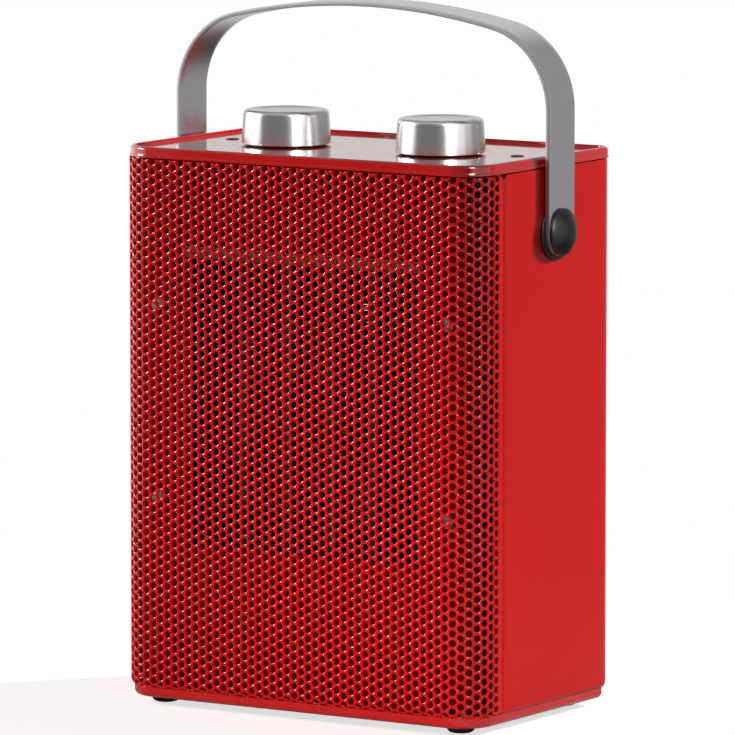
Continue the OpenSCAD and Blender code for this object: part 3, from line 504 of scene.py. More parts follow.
@dataclass
class Sheet:
    """The case sheets: their thickness, the joint, and a section that curls in above the base band."""

    low: float = 7.5
    top: float = 233.0
    hem: float = 1.7
    hem_r: float = 3.0
    thick: float = 0.8
    edge: float = 0.1
    seam_y: float = -35.0
    seam_gap: float = 0.4

    def turn(self) -> float:
        """Angle of the hem in radians."""
        return math.acos(1 - self.hem / self.hem_r)

    def hem_length(self) -> float:
        """Length of the hem along its bend."""
        return self.hem_r * self.turn()

    def bend_z(self) -> float:
        """Height at which the hem ends and the straight wall starts."""
        return self.low + self.hem_r * math.sin(self.turn())

    def length(self) -> float:
        """Length of the section from the edge of the hem to the top."""
        return self.hem_length() + self.top - self.bend_z()

    def at(self, up: np.ndarray, depth: np.ndarray) -> tuple[np.ndarray, np.ndarray]:
        """Find places on the section.

        On the hem the angle is t / r - turn, and the point is r (cos, sin) about the bend; above it the
        section is straight. A depth goes in against the normal.

        Args:
            up: distances t along the section from the edge of the hem.
            depth: distances below the outer face.
        Returns:
            Distance outwards from the face of the case, and height.
        """
        a = np.minimum(up / self.hem_r - self.turn(), 0)
        r = self.hem_r - depth
        high = self.bend_z() + r * np.sin(a) + np.maximum(up - self.hem_length(), 0)
        return r * np.cos(a) - self.hem_r, high


@dataclass
class OutletTrim:
    """The pale strip along the upper edge of the outlet, a bar with round edges on the baffle."""

    half: float = 60.0
    low: float = 191.2
    tall: float = 5.4
    deep: float = 1.0
    edge_r: float = 0.4
    baffle_y: float = -49.0

    def build(self) -> None:
        """Build the bar from its section, with flat ends and back."""
        r, top = self.edge_r, self.low + self.tall
        section = np.vstack([[[0, self.low]], arc(self.deep - r, self.low + r, r, -90, 0, 3),
                             arc(self.deep - r, top - r, r, 0, 90, 3), [[0, top]]])
        x, out = np.meshgrid([-self.half, self.half], section[:, 0], indexing="ij")
        skin = Skin.grid(np.stack([x, self.baffle_y - out, np.broadcast_to(section[:, 1], x.shape)], -1))
        number = np.arange(x.size).reshape(x.shape)
        rear = number[[0, 0, 1, 1], [0, -1, -1, 0]]
        skin.caps = [number[0].tolist(), number[1, ::-1].tolist(), rear.tolist()]
        # The strip's brownish tint is painted red light.
        add_piece("outlet_top_trim", skin, RED_LIT_ZINC_STRIP, 50.0)


@dataclass
class Grille:
    """The perforated front sheet, wrapped round both front corners, in three panels.

    Each hole has a rim that slopes from rim_r at rim_deep to slope_r at slope_deep, and below it the bore.
    """

    plan: Outline = field(default_factory=Outline)
    sheet: Sheet = field(default_factory=Sheet)
    pitch: float = 4.1
    columns: int = 28
    split: int = 10
    top_phase: float = 1.0
    hole_r: float = 1.46
    bore_deep: float = 0.45
    rim_r: float = 1.93
    rim_deep: float = 0.002
    slope_r: float = 1.56
    slope_deep: float = 0.175
    clip_long: float = 2.0
    clip_high: float = 1.7

    def place(self, points: np.ndarray) -> np.ndarray:
        """Put points of the developed sheet on the bent sheet.

        Args:
            points: rows of s along, t up and depth.
        Returns:
            Points in space.
        """
        point, normal = self.plan.at(points[:, 0])
        out, high = self.sheet.at(points[:, 1], points[:, 2])
        return np.column_stack([point + normal * out[:, None], high])

    def field_end(self) -> float:
        """Distance from the middle of the front to the plain edge of the sheet."""
        return self.columns * self.pitch * math.sqrt(3) / 2 + self.pitch / math.sqrt(3)

    def hole_cells(self, first: int, last: int) -> np.ndarray:
        """Work out the hexagonal cells of some columns of holes, on the developed sheet.

        Column k lies at s = k p sqrt(3) / 2, and each second one is half a pitch lower. A cell has six
        rings of twelve points: the hexagon, the upper and lower edge of the sloping rim, the front of the
        bore, its back and the hexagon on the back. Points past the edge of the sheet move onto the edge.

        Args:
            first: first column.
            last: last column.
        Returns:
            Array of cells by rings by twelve by three: s, t and depth.
        """
        p, thick, length = self.pitch, self.sheet.thick, self.sheet.length()
        rows = np.arange(-1, int(length / p) + 2)
        column, row = (i.ravel() for i in np.meshgrid(np.arange(first, last + 1), rows, indexing="ij"))
        t0 = length - self.top_phase - row * p - (column % 2) * p / 2
        inside = (t0 - p / 2 < length - TINY) & (t0 + p / 2 > TINY)
        column, t0 = column[inside, None, None], t0[inside, None, None]
        step = np.arange(12)
        a = np.radians(step * 30)
        hexagon = np.where(step % 2 == 0, p / math.sqrt(3), p / 2)
        rings = np.array([self.rim_r, self.slope_r, self.hole_r, self.hole_r])
        radius = np.vstack([hexagon, np.repeat(rings[:, None], 12, 1), hexagon])
        depth = np.array([0, self.rim_deep, self.slope_deep, self.bore_deep, thick, thick])
        s = column * p * math.sqrt(3) / 2 + radius * np.cos(a)
        t = np.clip(t0 + radius * np.sin(a), 0, length)
        # In the last columns, points of both hexagons within 60 degrees of the side move to the plain edge.
        outer = np.isin(np.arange(len(depth)), (0, 5))[:, None] & (np.sign(column) * np.cos(a) > 0.4)
        s = np.where(outer & (np.abs(column) == self.columns), np.sign(column) * self.field_end(), s)
        return np.stack([s, t, np.broadcast_to(depth[:, None], s.shape)], -1)

    def panel(self, name: str, first: int, last: int) -> None:
        """Build one panel of the perforated sheet.

        The cells are welded on the developed sheet, walls join front and back along open borders, and the
        rest of the openings lie flat in the cut edges and are filled.

        Args:
            name: name of the piece.
            first: first column of holes.
            last: last column of holes.
        """
        cells = self.hole_cells(first, last)
        number = np.arange(cells[..., 0].size).reshape(cells.shape[:3])
        after = np.roll(number, -1, axis=2)
        faces = np.stack([number[:, :-1], after[:, :-1], after[:, 1:], number[:, 1:]], -1).reshape(-1, 4)
        margins = [self.margin(side, cells) for side in (-1, 1) if side * self.columns in (first, last)]
        points, rows = Skin.joined(Skin(cells.reshape(-1, 3), faces), *margins).welded()
        rows += self.border_walls(points, rows)
        mesh = bpy.data.meshes.new(name)
        mesh.from_pydata((self.place(points) * MM).tolist(), [], rows)
        work = bmesh.new()
        work.from_mesh(mesh)
        bmesh.ops.holes_fill(work, edges=[e for e in work.edges if e.is_boundary], sides=0)
        bmesh.ops.recalc_face_normals(work, faces=work.faces[:])
        work.to_mesh(mesh)
        work.free()
        add_piece(name, mesh, DIPPED_ENAMEL, 50.0, ("front_grille",))
        self.crisp_rims(mesh, points[:, 2])

    def crisp_rims(self, mesh: bpy.types.Mesh, depth: np.ndarray) -> None:
        """Mark both edges of the sloping rims as sharp, so that each rim mirrors a lamp as one clear glint.

        Args:
            mesh: mesh of the panel.
            depth: depth of its points below the outer face.
        """
        ends = np.empty(len(mesh.edges) * 2, np.int32)
        mesh.edges.foreach_get("vertices", ends)
        at = depth[ends.reshape(-1, 2)]
        rim = np.any([(np.abs(at - d) < 1e-4).all(1) for d in (self.rim_deep, self.slope_deep)], axis=0)
        flag = mesh.attributes.get("sharp_edge") or mesh.attributes.new("sharp_edge", "BOOLEAN", "EDGE")
        known = np.zeros(len(mesh.edges), bool)
        flag.data.foreach_get("value", known)
        flag.data.foreach_set("value", known | rim)

    def margin(self, side: int, cells: np.ndarray) -> Skin:
        """Build the plain edge between the last holes and the joint, front and back, with clipped corners.

        Args:
            side: 1 for the right, -1 for the left.
            cells: cells of the panel, whose heights on the border are taken over.
        Returns:
            A surface on the developed sheet.
        """
        plan, sheet = self.plan, self.sheet
        end = plan.front_arc() + sheet.seam_y - sheet.seam_gap / 2 - (plan.front + plan.front_r)
        s = side * np.linspace(self.field_end(), end, 8)
        hexagon = cells[:, 0].reshape(-1, 3)
        t = np.unique(np.round(hexagon[np.abs(hexagon[:, 0] - s[0]) < TINY, 1], 4))
        along, up = np.meshgrid(s if side > 0 else s[::-1], t, indexing="ij")
        corner = np.maximum(self.clip_high * (1 - (end - np.abs(along)) / self.clip_long), 0)
        up = np.clip(up, corner, sheet.length() - corner)
        front = Skin.grid(np.stack([along, up, np.zeros_like(up)], -1))
        back = Skin.grid(np.stack([along, up, np.full_like(up, sheet.thick)], -1)[::-1])
        return Skin.joined(front, back)

    def border_walls(self, points: np.ndarray, rows: list[list[int]]) -> list[list[int]]:
        """Join front and back along the open borders that aren't cut edges.

        Args:
            points: welded points on the developed sheet.
            rows: faces.
        Returns:
            One face for each such edge of the front.
        """
        ends = np.array([(a, b) for row in rows for a, b in zip(row, row[1:] + row[:1])])
        _, back, times = np.unique(np.sort(ends, axis=1), axis=0, return_inverse=True, return_counts=True)
        open_edges = ends[times[back.reshape(-1)] == 1]
        t, depth = points[:, 1], points[:, 2]
        cut = (t < TINY) | (t > self.sheet.length() - TINY)
        edges = open_edges[(depth[open_edges] < TINY).all(1) & ~cut[open_edges].all(1)]
        key = np.round(points[:, :2] * 1000).astype(np.int64) @ np.array([10 ** 7, 1])
        rear = np.flatnonzero(depth > self.sheet.thick - TINY)
        order = rear[np.argsort(key[rear])]
        pair = order[np.searchsorted(key[order], key[edges])]
        return np.column_stack([edges[:, ::-1], pair]).tolist()

    def build(self) -> None:
        """Build the three panels."""
        end, split = self.columns, self.split
        self.panel("grille_left", -end, -split)
        self.panel("grille_middle", 1 - split, split - 1)
        self.panel("grille_right", split, end)


@dataclass(frozen=True)
class ScrewHead:
    """A low domed screw head with a cross recess."""

    r: float = 2.8
    rim: float = 0.2
    tall: float = 1.6
    crown: float = 0.34
    edge: float = 0.16
    arm: float = 0.42
    arm_soft: float = 0.16
    reach: float = 1.75
    reach_soft: float = 0.3
    deep: float = 0.9

    def skin(self, centre: tuple[float, float, float], axis: Axis) -> Skin:
        """Build the head.

        The height over (r, a) is that of a shallow dome, less a cross that is deepest where one of the two
        distances from the arms is small.

        Args:
            centre: middle of the seat of the head.
            axis: direction in which the head rises.
        Returns:
            The surface of the head.
        """
        u, v, w = (np.array(e, float) for e in axis.value)
        r = np.concatenate([[self.r, self.r], np.linspace(self.r - self.rim, 0, 27)])
        a = np.linspace(0, FULL_TURN, 96, endpoint=False)
        x, y = np.outer(np.cos(a), r), np.outer(np.sin(a), r)
        dome = self.tall * (1 - self.crown * (r / self.r) ** 2)
        dome[:2] = 0, dome[1] - self.tall * self.edge
        arm = np.clip((self.arm - np.minimum(np.abs(x), np.abs(y))) / self.arm_soft, 0, 1)
        end = np.clip((self.reach - np.maximum(np.abs(x), np.abs(y))) / self.reach_soft, 0, 1)
        high = dome[None] - self.deep * arm * end
        place = np.array(centre) + x[..., None] * u + y[..., None] * v + high[..., None] * w
        return Skin.grid(place, close_u=True)


@dataclass(frozen=True)
class CapRim:
    """Section of the cap, from its foot over the bead and the round top down to the sunk panel.

    Crest and root are the insets of the bead from the face of the cap, where it stands out and where it ends.
    """

    deep: float = 4.0
    foot_line: float = 0.1
    foot_r: float = 0.23
    crest: float = -0.28
    root: float = -0.02
    bead_rise: float = 0.65
    bead_high: float = 0.8
    top_r: float = 1.3
    wall: float = 1.8
    lip_r: float = 0.5
    fillet_r: float = 0.3
    ledge: float = 3.0

    def profile(self, low: float, top: float, panel: float) -> np.ndarray:
        """Give the section, in which the inset follows half a cosine wave from crest to root.

        Args:
            low: height of the foot.
            top: height of the rim.
            panel: height of the sunk panel.
        Returns:
            Rows of inset and height.
        """
        wave = np.linspace(0, 1, 9)
        inset = (self.crest + self.root) / 2 - (self.root - self.crest) / 2 * np.cos(math.pi * wave)
        bead = np.column_stack([inset, low + self.bead_rise + self.bead_high * wave])
        foot, r, lip, wall, fillet = self.foot_r, self.top_r, self.lip_r, self.wall, self.fillet_r
        return np.vstack([[[self.deep, low], [self.foot_line, low]],
                          arc(self.crest + foot, low + foot, foot, -90, -180, 4), bead,
                          arc(self.root + r, top - r, r, 180, 90, 9),
                          arc(wall - lip, top - lip, lip, 80, 0, 4),
                          [[wall, panel + fillet]],
                          arc(wall + fillet, panel + fillet, fillet, 180, 270, 4),
                          [[wall + 2 * fillet, panel], [self.ledge, panel]]])


@dataclass(frozen=True)
class Foot:
    """A rubber foot: a low disc with a round edge, a bore for the screw and a well for its head."""

    r: float = 6.0
    tall: float = 3.0
    edge: float = 2.4
    bore: float = 1.7
    well_r: float = 3.2
    well: float = 2.0

    def profile(self) -> np.ndarray:
        """Give the section from the well round the outside and down the bore.

        Returns:
            Rows of radius and height.
        """
        well = [self.well_r, self.well]
        return np.vstack([[well, [self.well_r, 0]], arc(self.r - self.edge, self.edge, self.edge, -90, 0, 8),
                          [[self.r, self.tall], [self.bore, self.tall], [self.bore, self.well], well]])


@dataclass(frozen=True)
class Bush:
    """The bush of the cord gland: a neck in the wall, a flange with a round edge and a flared bore."""

    bore: float = 3.7
    neck: float = 6.0
    deep: float = 7.0
    flange: float = 8.0
    thick: float = 1.6
    edge: float = 0.6
    flare: float = 1.3

    def profile(self) -> np.ndarray:
        """Give the section from the inner end over the flange and down the bore.

        Returns:
            Rows of radius and height over the wall.
        """
        mouth, inner = self.bore + self.flare, [self.bore, -self.deep]
        return np.vstack([[inner, [self.neck, -self.deep], [self.neck, 0], [self.flange, 0]],
                          arc(self.flange - self.edge, self.thick - self.edge, self.edge, 0, 90, 5),
                          [[mouth, self.thick]], arc(mouth, self.thick - self.flare, self.flare, 90, 180, 6),
                          [inner]])


@dataclass
class Case:
    """Shell, cap and base of the case, with their screws, feet and cord gland."""

    plan: Outline = field(default_factory=Outline)
    sheet: Sheet = field(default_factory=Sheet)
    notch: float = 2.26
    slot_z: float = 130.0
    slot_pitch: float = 8.0
    slot_h: float = 4.0
    slot_field_r: float = 50.0
    slot_rows: int = 5
    slot_rib: float = 2.5
    mesh_start: float = 8.0
    mesh_x: tuple[float, ...] = (60.0, 70.0)
    mesh_z: tuple[float, ...] = (30.0, 50.0, 206.0)
    case_h: float = 238.0
    panel_z: float = 236.6
    cap_inset: float = 0.6
    cap_back: float = 55.7
    cap_gap: float = 0.35
    rim: CapRim = CapRim()
    base_inset: float = 1.5
    base_r: float = 2.5
    base_deep: float = 6.3
    foot: Foot = Foot()
    foot_x: tuple[float, ...] = (-74.0, 74.0)
    foot_y: tuple[float, ...] = (-42.0, 40.0)
    top_screw: tuple[float, float] = (71.4, 6.0)
    rear_screw_x: float = 70.0
    bush: Bush = Bush()
    bush_x: float = 60.0
    bush_z: float = 32.0

    def slot_edges(self) -> tuple[np.ndarray, np.ndarray, np.ndarray]:
        """Give the air slots of the back: a round field of level slots with a rib in the middle.

        Returns:
            Half lengths of the rows, and their lower and upper heights.
        """
        row = np.arange(-self.slot_rows, self.slot_rows + 1) * self.slot_pitch
        half = self.slot_h / 2
        reach = np.sqrt(self.slot_field_r ** 2 - (np.abs(row) + half) ** 2)
        return reach, self.slot_z + row - half, self.slot_z + row + half

    def shell(self) -> None:
        """Build the sheet of both sides and the back as one grid, with cells left out for the slots.

        s runs from the right joint round the back to the left joint, t up the section with the hem.
        """
        plan, sheet = self.plan, self.sheet
        reach, lows, highs = self.slot_edges()
        start = sheet.seam_y + sheet.seam_gap / 2
        side = plan.back - plan.rear_r - start
        bend = plan.rear_r * QUARTER_TURN
        wide = plan.half - plan.rear_r
        middle = side + bend + wide
        lines = np.unique(np.round(np.concatenate([reach, [self.slot_rib, wide, *self.mesh_x]]), 4))
        path = np.concatenate([[0, self.notch], np.linspace(self.mesh_start, side, 12),
                               side + bend * np.arange(1, 12) / 12, middle - lines[::-1]])
        s = np.concatenate([path, 2 * middle - path[::-1]])
        near = np.minimum(s, 2 * middle - s)
        a = np.clip((near - side) / plan.rear_r, 0, QUARTER_TURN)
        x = wide + plan.rear_r * np.cos(a) - np.maximum(near - side - bend, 0)
        y = start + np.minimum(near, side) + plan.rear_r * np.sin(a)
        mirror = np.where(s > middle, -1.0, 1.0)
        point = np.column_stack([mirror * x, y])
        normal = np.column_stack([mirror * np.cos(a), np.sin(a)])
        heights = np.concatenate([lows, highs, [*self.mesh_z, sheet.top - self.notch, sheet.top]])
        hem = np.linspace(0, sheet.hem_length(), 9)
        t = np.concatenate([hem, [self.notch], heights - sheet.bend_z() + sheet.hem_length()])
        t = np.unique(np.round(t, 4))
        out, high = sheet.at(t, np.zeros_like(t))
        points = np.concatenate([point[:, None] + normal[:, None] * out[None, :, None],
                                 np.broadcast_to(high[None, :, None], (len(s), len(t), 1))], -1)
        low_notch = int(np.argmin(np.abs(t - self.notch)))
        for u, next_u in ((0, 1), (-1, -2)):
            for v, next_v in ((0, low_notch), (-1, -2)):
                points[u, v] = (points[u, next_v] + points[next_u, v]) / 2
        skin = Skin.grid(points)
        off = np.abs((s[:-1] + s[1:]) / 2 - middle)[:, None, None]
        level = ((high[:-1] + high[1:]) / 2)[None, :, None]
        slots = ((off < reach) & (off > self.slot_rib) & (level > lows) & (level < highs)).any(-1)
        skin.faces = skin.faces[~slots.ravel()]
        piece = add_piece("rear_shell_sheet", skin, RED_ENAMEL, 40.0, ("rear_shell",))
        add_wall(piece, sheet.thick, sheet.edge)

    def cap(self) -> None:
        """Build the moulded cap: its rim carried round the outline, with the sunk panel inside."""
        inset = self.cap_inset
        plan = Outline(self.plan.half - inset, self.plan.front + inset, self.cap_back,
                       self.plan.front_r - inset, self.plan.rear_r)
        profile = self.rim.profile(self.sheet.top + self.cap_gap, self.case_h, self.panel_z)
        add_piece("top_cap_moulding", plan.swept(profile), RED_ABS, 50.0, ("top_cap",))

    def base(self) -> None:
        """Build the base tray: a band with a round lower edge that stands back from the sheets."""
        r, inset, top = self.base_r, self.base_inset, self.sheet.low
        profile = np.vstack([arc(inset + r, self.foot.tall + r, r, 270, 180, 10),
                             [[inset, top], [self.base_deep, top]]])
        add_piece("base_tray_moulding", self.plan.swept(profile), RED_ABS, 50.0,
                  ("base_tray",))

    def feet(self) -> None:
        """Build the four rubber feet."""
        places = [(x, y, 0) for x in self.foot_x for y in self.foot_y]
        skins = [turned(self.foot.profile(), place, Axis.UP, 48) for place in places]
        add_piece("rubber_foot_set", Skin.joined(*skins), FOOT_RUBBER, 50.0, ("rubber_feet",))

    def screws(self) -> None:
        """Build the heads of the screws in the top panel and in the back."""
        flat, plain, (x, y) = ScrewHead(tall=0.5), ScrewHead(), self.top_screw
        top = [flat.skin((side * x, y, self.panel_z), Axis.UP) for side in (-1, 1)]
        low, high = (corner.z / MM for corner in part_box("rear_screws"))
        rear = [plain.skin((side * self.rear_screw_x, self.plan.back, z), Axis.BACK)
                for side in (-1, 1) for z in (low + plain.r, high - plain.r)]
        for name, skins in (("top_screw", top), ("rear_screw", rear)):
            add_piece(f"{name}_heads", Skin.joined(*skins), BLACK_STEEL, 35.0, (f"{name}s",))

    def gland(self) -> None:
        """Build the cord gland, which is empty as no cord shows."""
        place = (self.bush_x, self.plan.back, self.bush_z)
        add_piece("cord_gland_bush", turned(self.bush.profile(), place, Axis.BACK), BLACK_PLASTIC,
                  45.0, ("cord_gland",))

    def build(self) -> None:
        """Build and dress every piece of the case."""
        self.shell()
        self.cap()
        self.base()
        self.feet()
        self.screws()
        self.gland()


@dataclass
class Knob:
    """A control knob: a turned metal shell with a pointer groove, and the printed scale round it."""

    name: str
    x: float
    pointer: float
    y: float = -2.0
    foot: float = 237.4
    foot_r: float = 19.0
    top_r: float = 18.2
    high: float = 14.5
    edge: float = 2.2
    dish: float = 0.4
    wall: float = 1.2
    hollow: float = 1.5
    chamfer: float = 0.15
    groove_half: float = 0.5
    groove_soft: float = 0.12
    groove_near: float = 1.2
    groove_deep: float = 0.4
    panel_z: float = 236.6
    scale_r: tuple[float, float] = (20.8, 23.0)
    scale_half: float = 0.3

    def shell(self) -> None:
        """Build the shell: a cone with a round shoulder, a lip, a shallow dish and a groove down one side.

        The profile is turned; points within half a groove's width of the pointer sink by its depth.
        """
        lip, shoulder_z, dish_z = self.top_r - self.edge, self.high - self.edge, self.high - self.dish
        foot, inner, cut = self.foot_r, self.foot_r - self.wall, self.chamfer
        profile = np.vstack([[[0, self.hollow], [inner, self.hollow], [inner, cut], [inner + cut, 0],
                              [foot - cut, 0], [foot, cut]],
                             np.linspace([foot - 0.03, 0.8], [self.top_r + 0.05, shoulder_z], 6)[:-1],
                             arc(lip, shoulder_z, self.edge, 0, 90, 12), [[lip - 2.0, self.high]],
                             arc(lip - 2.2, self.high - 0.25, 0.25, 80, 120, 3),
                             [[lip - r, dish_z] for r in (2.8, 3.2, 9.0)], [[0, dish_z]]])
        half, soft = self.groove_half, self.groove_soft
        fine = np.array([half - soft, half, half + soft, self.groove_near])
        fine = np.concatenate([-fine[::-1], fine]) / foot
        a = np.sort(np.concatenate([np.linspace(0.08, FULL_TURN - 0.08, 90), fine % FULL_TURN]))
        across = np.abs((a + math.pi) % FULL_TURN - math.pi) * foot
        r, h = profile[None, :, 0], profile[None, :, 1]
        # The first five points of the profile are its underside, which has no groove.
        outside = (r > lip - 1.4) & (h > 0.1) & (np.arange(len(profile)) > 4)[None]
        sunk = np.clip((half + soft / 2 - across) / soft, 0, 1)[:, None] * self.groove_deep * outside
        tilt = np.clip((h - shoulder_z) / self.edge, 0, 1) * QUARTER_TURN
        r, h = r - sunk * np.cos(tilt), h - sunk * np.sin(tilt)
        turn = a[:, None] + math.radians(self.pointer)
        points = np.stack([self.x + r * np.cos(turn), self.y + r * np.sin(turn), self.foot + h], -1)
        add_piece(f"{self.name}_shell", Skin.grid(points, close_u=True), spun_aluminium(self.x, self.y),
                  38.0, (f"{self.name}_shell",), self.name)

    def marks(self) -> None:
        """Build the printed scale: short plain bars round the knob, just proud of the panel."""
        a = np.radians(np.arange(-240, 61, 30))[:, None, None]
        u, v = np.meshgrid(self.scale_r, [-self.scale_half, self.scale_half], indexing="ij")
        x = self.x + u * np.cos(a) - v * np.sin(a)
        y = self.y + u * np.sin(a) + v * np.cos(a)
        bars = [Skin.grid(bar) for bar in np.stack([x, y, np.full_like(x, self.panel_z + 0.02)], -1)]
        add_piece(f"{self.name}_scale", Skin.joined(*bars), DARK_INK)

    def build(self) -> None:
        """Build and dress the knob and its scale."""
        self.shell()
        self.marks()


@dataclass
class Handle:
    """The strap handle with its washers and domed caps."""

    pivot_y: float = 6.0
    pivot_z: float = 206.0
    out: float = 93.35
    wide: float = 20.0
    thick: float = 2.0
    edge: float = 0.35
    top: float = 299.0
    arch_r: float = 300.0
    bend_r: float = 36.0
    case_half: float = 90.0
    washer_r: float = 12.0
    washer_bore: float = 4.0
    washer_t: float = 1.2
    washer_edge: float = 0.4
    dome_r: float = 10.0
    dome_high: float = 5.0
    dome_edge: float = 1.0
    dome_chamfer: float = 0.2
    dome_gap: float = 0.15

    def path(self) -> np.ndarray:
        """Give the outer face of the right half of the strap, from the pivot to the middle of the arch.

        The leg is straight, the bend is an arc that touches leg and arch, and the arch is an arc of large
        radius.

        Returns:
            Rows of x and z.
        """
        bend_x = self.out - self.bend_r
        half = math.asin(bend_x / (self.arch_r - self.bend_r))
        bend_z = self.top - self.arch_r + (self.arch_r - self.bend_r) * math.cos(half)
        leg = np.column_stack([np.full(10, self.out), np.linspace(self.pivot_z, bend_z, 11)[:-1]])
        bend = arc(bend_x, bend_z, self.bend_r, 0, 90 - math.degrees(half), 28)
        arch = arc(0, self.top - self.arch_r, self.arch_r, 90 - math.degrees(half), 90, 14)
        return np.vstack([leg, bend, arch[1:]])

    def strap(self) -> None:
        """Build the strap as a strip carried along the arch, with round ends about the pivots.

        At an end the strip goes on for w sin b beyond the pivot, and its half width there is w cos b.
        """
        w = self.wide / 2
        b = np.radians(np.linspace(90, 0, 14))[:-1]
        tip = np.column_stack([np.full(len(b), self.out), self.pivot_z - w * np.sin(b)])
        path = self.path()
        right = np.vstack([tip, path])
        half = np.concatenate([w * np.cos(b), np.full(len(path), w)])
        line = np.vstack([right, right[-2::-1] * [-1, 1]])
        half = np.concatenate([half, half[-2::-1]])
        y = self.pivot_y + half[:, None] * np.linspace(1, -1, 9)
        x, z = (np.broadcast_to(line[:, i, None], y.shape) for i in (0, 1))
        skin = Skin.grid(np.stack([x, y, z], -1))
        piece = add_piece("handle_strip", skin, STRAP_STEEL, 40.0, ("handle_strap",), "handle")
        self.map_length(piece.data)
        # The cut edges are darker than the faces as painted shade.
        add_wall(piece, self.thick, self.edge, STRAP_EDGE_SHADED)

    def map_length(self, mesh: bpy.types.Mesh) -> None:
        """Give the strap a map in metres, length against width, for the brushed lines.

        Args:
            mesh: the strap's mesh.
        """
        co = np.empty(len(mesh.vertices) * 3)
        mesh.vertices.foreach_get("co", co)
        co = co.reshape(-1, 3)
        right = np.vstack([[self.out, self.pivot_z - self.wide / 2], self.path()]) * MM
        line = np.vstack([right, right[-2::-1] * [-1, 1]])
        run = np.concatenate([[0], np.cumsum(np.linalg.norm(np.diff(line, axis=0), axis=1))])
        near = np.argmin(np.linalg.norm(co[:, None, [0, 2]] - line[None], axis=2), axis=1)
        index = np.empty(len(mesh.loops), np.int32)
        mesh.loops.foreach_get("vertex_index", index)
        uv = np.column_stack([run[near], co[:, 1]])[index]
        mesh.uv_layers.new(name="length").data.foreach_set("uv", uv.ravel())

    def pair(self, profile: np.ndarray, x: float) -> Skin:
        """Turn a profile about both pivots, at a distance x to the right and to the left."""
        sides = ((x, Axis.RIGHT), (-x, Axis.LEFT))
        return Skin.joined(*[turned(profile, (at, self.pivot_y, self.pivot_z), axis) for at, axis in sides])

    def washers(self) -> None:
        """Build the two washers: flat rings with a rounded edge."""
        r, bore, t, edge = self.washer_r, self.washer_bore, self.washer_t, self.washer_edge
        profile = np.vstack([[[bore, 0], [r, 0]], arc(r - edge, t - edge, edge, 0, 90, 5),
                             [[bore, t], [bore, 0]]])
        add_piece("pivot_washer_pair", self.pair(profile, self.case_half), CAP_PLASTIC, 45.0,
                  ("pivot_washers",))

    def caps(self) -> None:
        """Build the two domed caps: part of a ball on a short straight edge."""
        half, high, edge = self.dome_r, self.dome_high, self.dome_edge
        rise = high - edge
        ball = (half * half + rise * rise) / (2 * rise)
        start = math.degrees(math.acos(half / ball))
        # The foot has a chamfer, and the corner between edge and ball is broken by 0.1 mm and 1.5 degrees.
        cut = self.dome_chamfer
        profile = np.vstack([[[0, 0], [half - cut, 0], [half, cut], [half, edge - 0.1]],
                             arc(0, high - ball, ball, start + 1.5, 90, 16)])
        add_piece("pivot_cap_pair", self.pair(profile, self.out + self.dome_gap), CAP_PLASTIC,
                  60.0, ("pivot_caps",))

    def build(self) -> None:
        """Build and dress every piece of the handle."""
        self.strap()
        self.washers()
        self.caps()


@dataclass
class Inside:
    """The nodes of the part that keep their own shape, dressed by their material slots."""

    # The baffle's red is darkened as painted shade of the dark inside.
    # The seam strips are matt black as painted shade in the joints.
    special: dict[str, Finish] = field(
        default_factory=lambda: {"seam_strips": JOINT_SHADE_BLACK, "front_baffle": SHADED_BAFFLE_RED})

    def build(self) -> None:
        """Give every node of the part a finish."""
        slots = {row["node"]: row["material_slot"] for row in frame["record"]["subparts"]}
        for name, node in frame["nodes"].items():
            finish = self.special.get(name, SLOT_FINISHES[slots[name]])
            node.data.materials.clear()
            node.data.materials.append(finish.material())
            log.info("%s: %s", name, finish.name)


def aimed(azimuth: float, elevation: float) -> np.ndarray:
    """Give the axes of a lamp or camera that looks at the case.

    Args:
        azimuth: its angle round the case in degrees, 0 from the front and 90 from the right.
        elevation: its angle above the floor in degrees.
    Returns:
        Columns to its right, up and away from the case.
    """
    a, e = math.radians(azimuth), math.radians(elevation)
    away = np.array([math.sin(a) * math.cos(e), -math.cos(a) * math.cos(e), math.sin(e)])
    across = np.array([math.cos(a), math.sin(a), 0.0])
    return np.column_stack([across, np.cross(away, across), away])


@dataclass
class Lamp:
    """A soft box: a flat lamp, wide by tall, at an angle and distance from the middle of the case, in metres.

    Its reach says whether it gives a highlight, plain light or both.
    """

    name: str
    azimuth: float
    elevation: float
    distance: float
    wide: float
    tall: float
    power: float
    reach: Reach = Reach.ALL
    high: float = 0.13

    def build(self) -> None:
        """Hang the lamp so that it faces the case."""
        data = bpy.data.lights.new(self.name, "AREA")
        data.shape = "RECTANGLE"
        data.size, data.size_y = self.wide, self.tall
        data.energy = self.power
        lamp = show(self.name, data)
        turn = aimed(self.azimuth, self.elevation)
        place = turn[:, 2] * self.distance + [0, 0, self.high]
        lamp.matrix_world = Matrix.Translation(place) @ Matrix(turn.tolist()).to_4x4()
        lamp.visible_camera = False
        lamp.visible_diffuse = self.reach is not Reach.GLOSS
        lamp.visible_glossy = self.reach is not Reach.PLAIN


@dataclass(frozen=True)
class Wall:
    """A pale round wall that only reflections see.

    It has a direction, the cosines of the angles from it at which the wall starts and is full, and a level.
    """

    azimuth: float
    elevation: float
    start: float
    full: float
    level: float


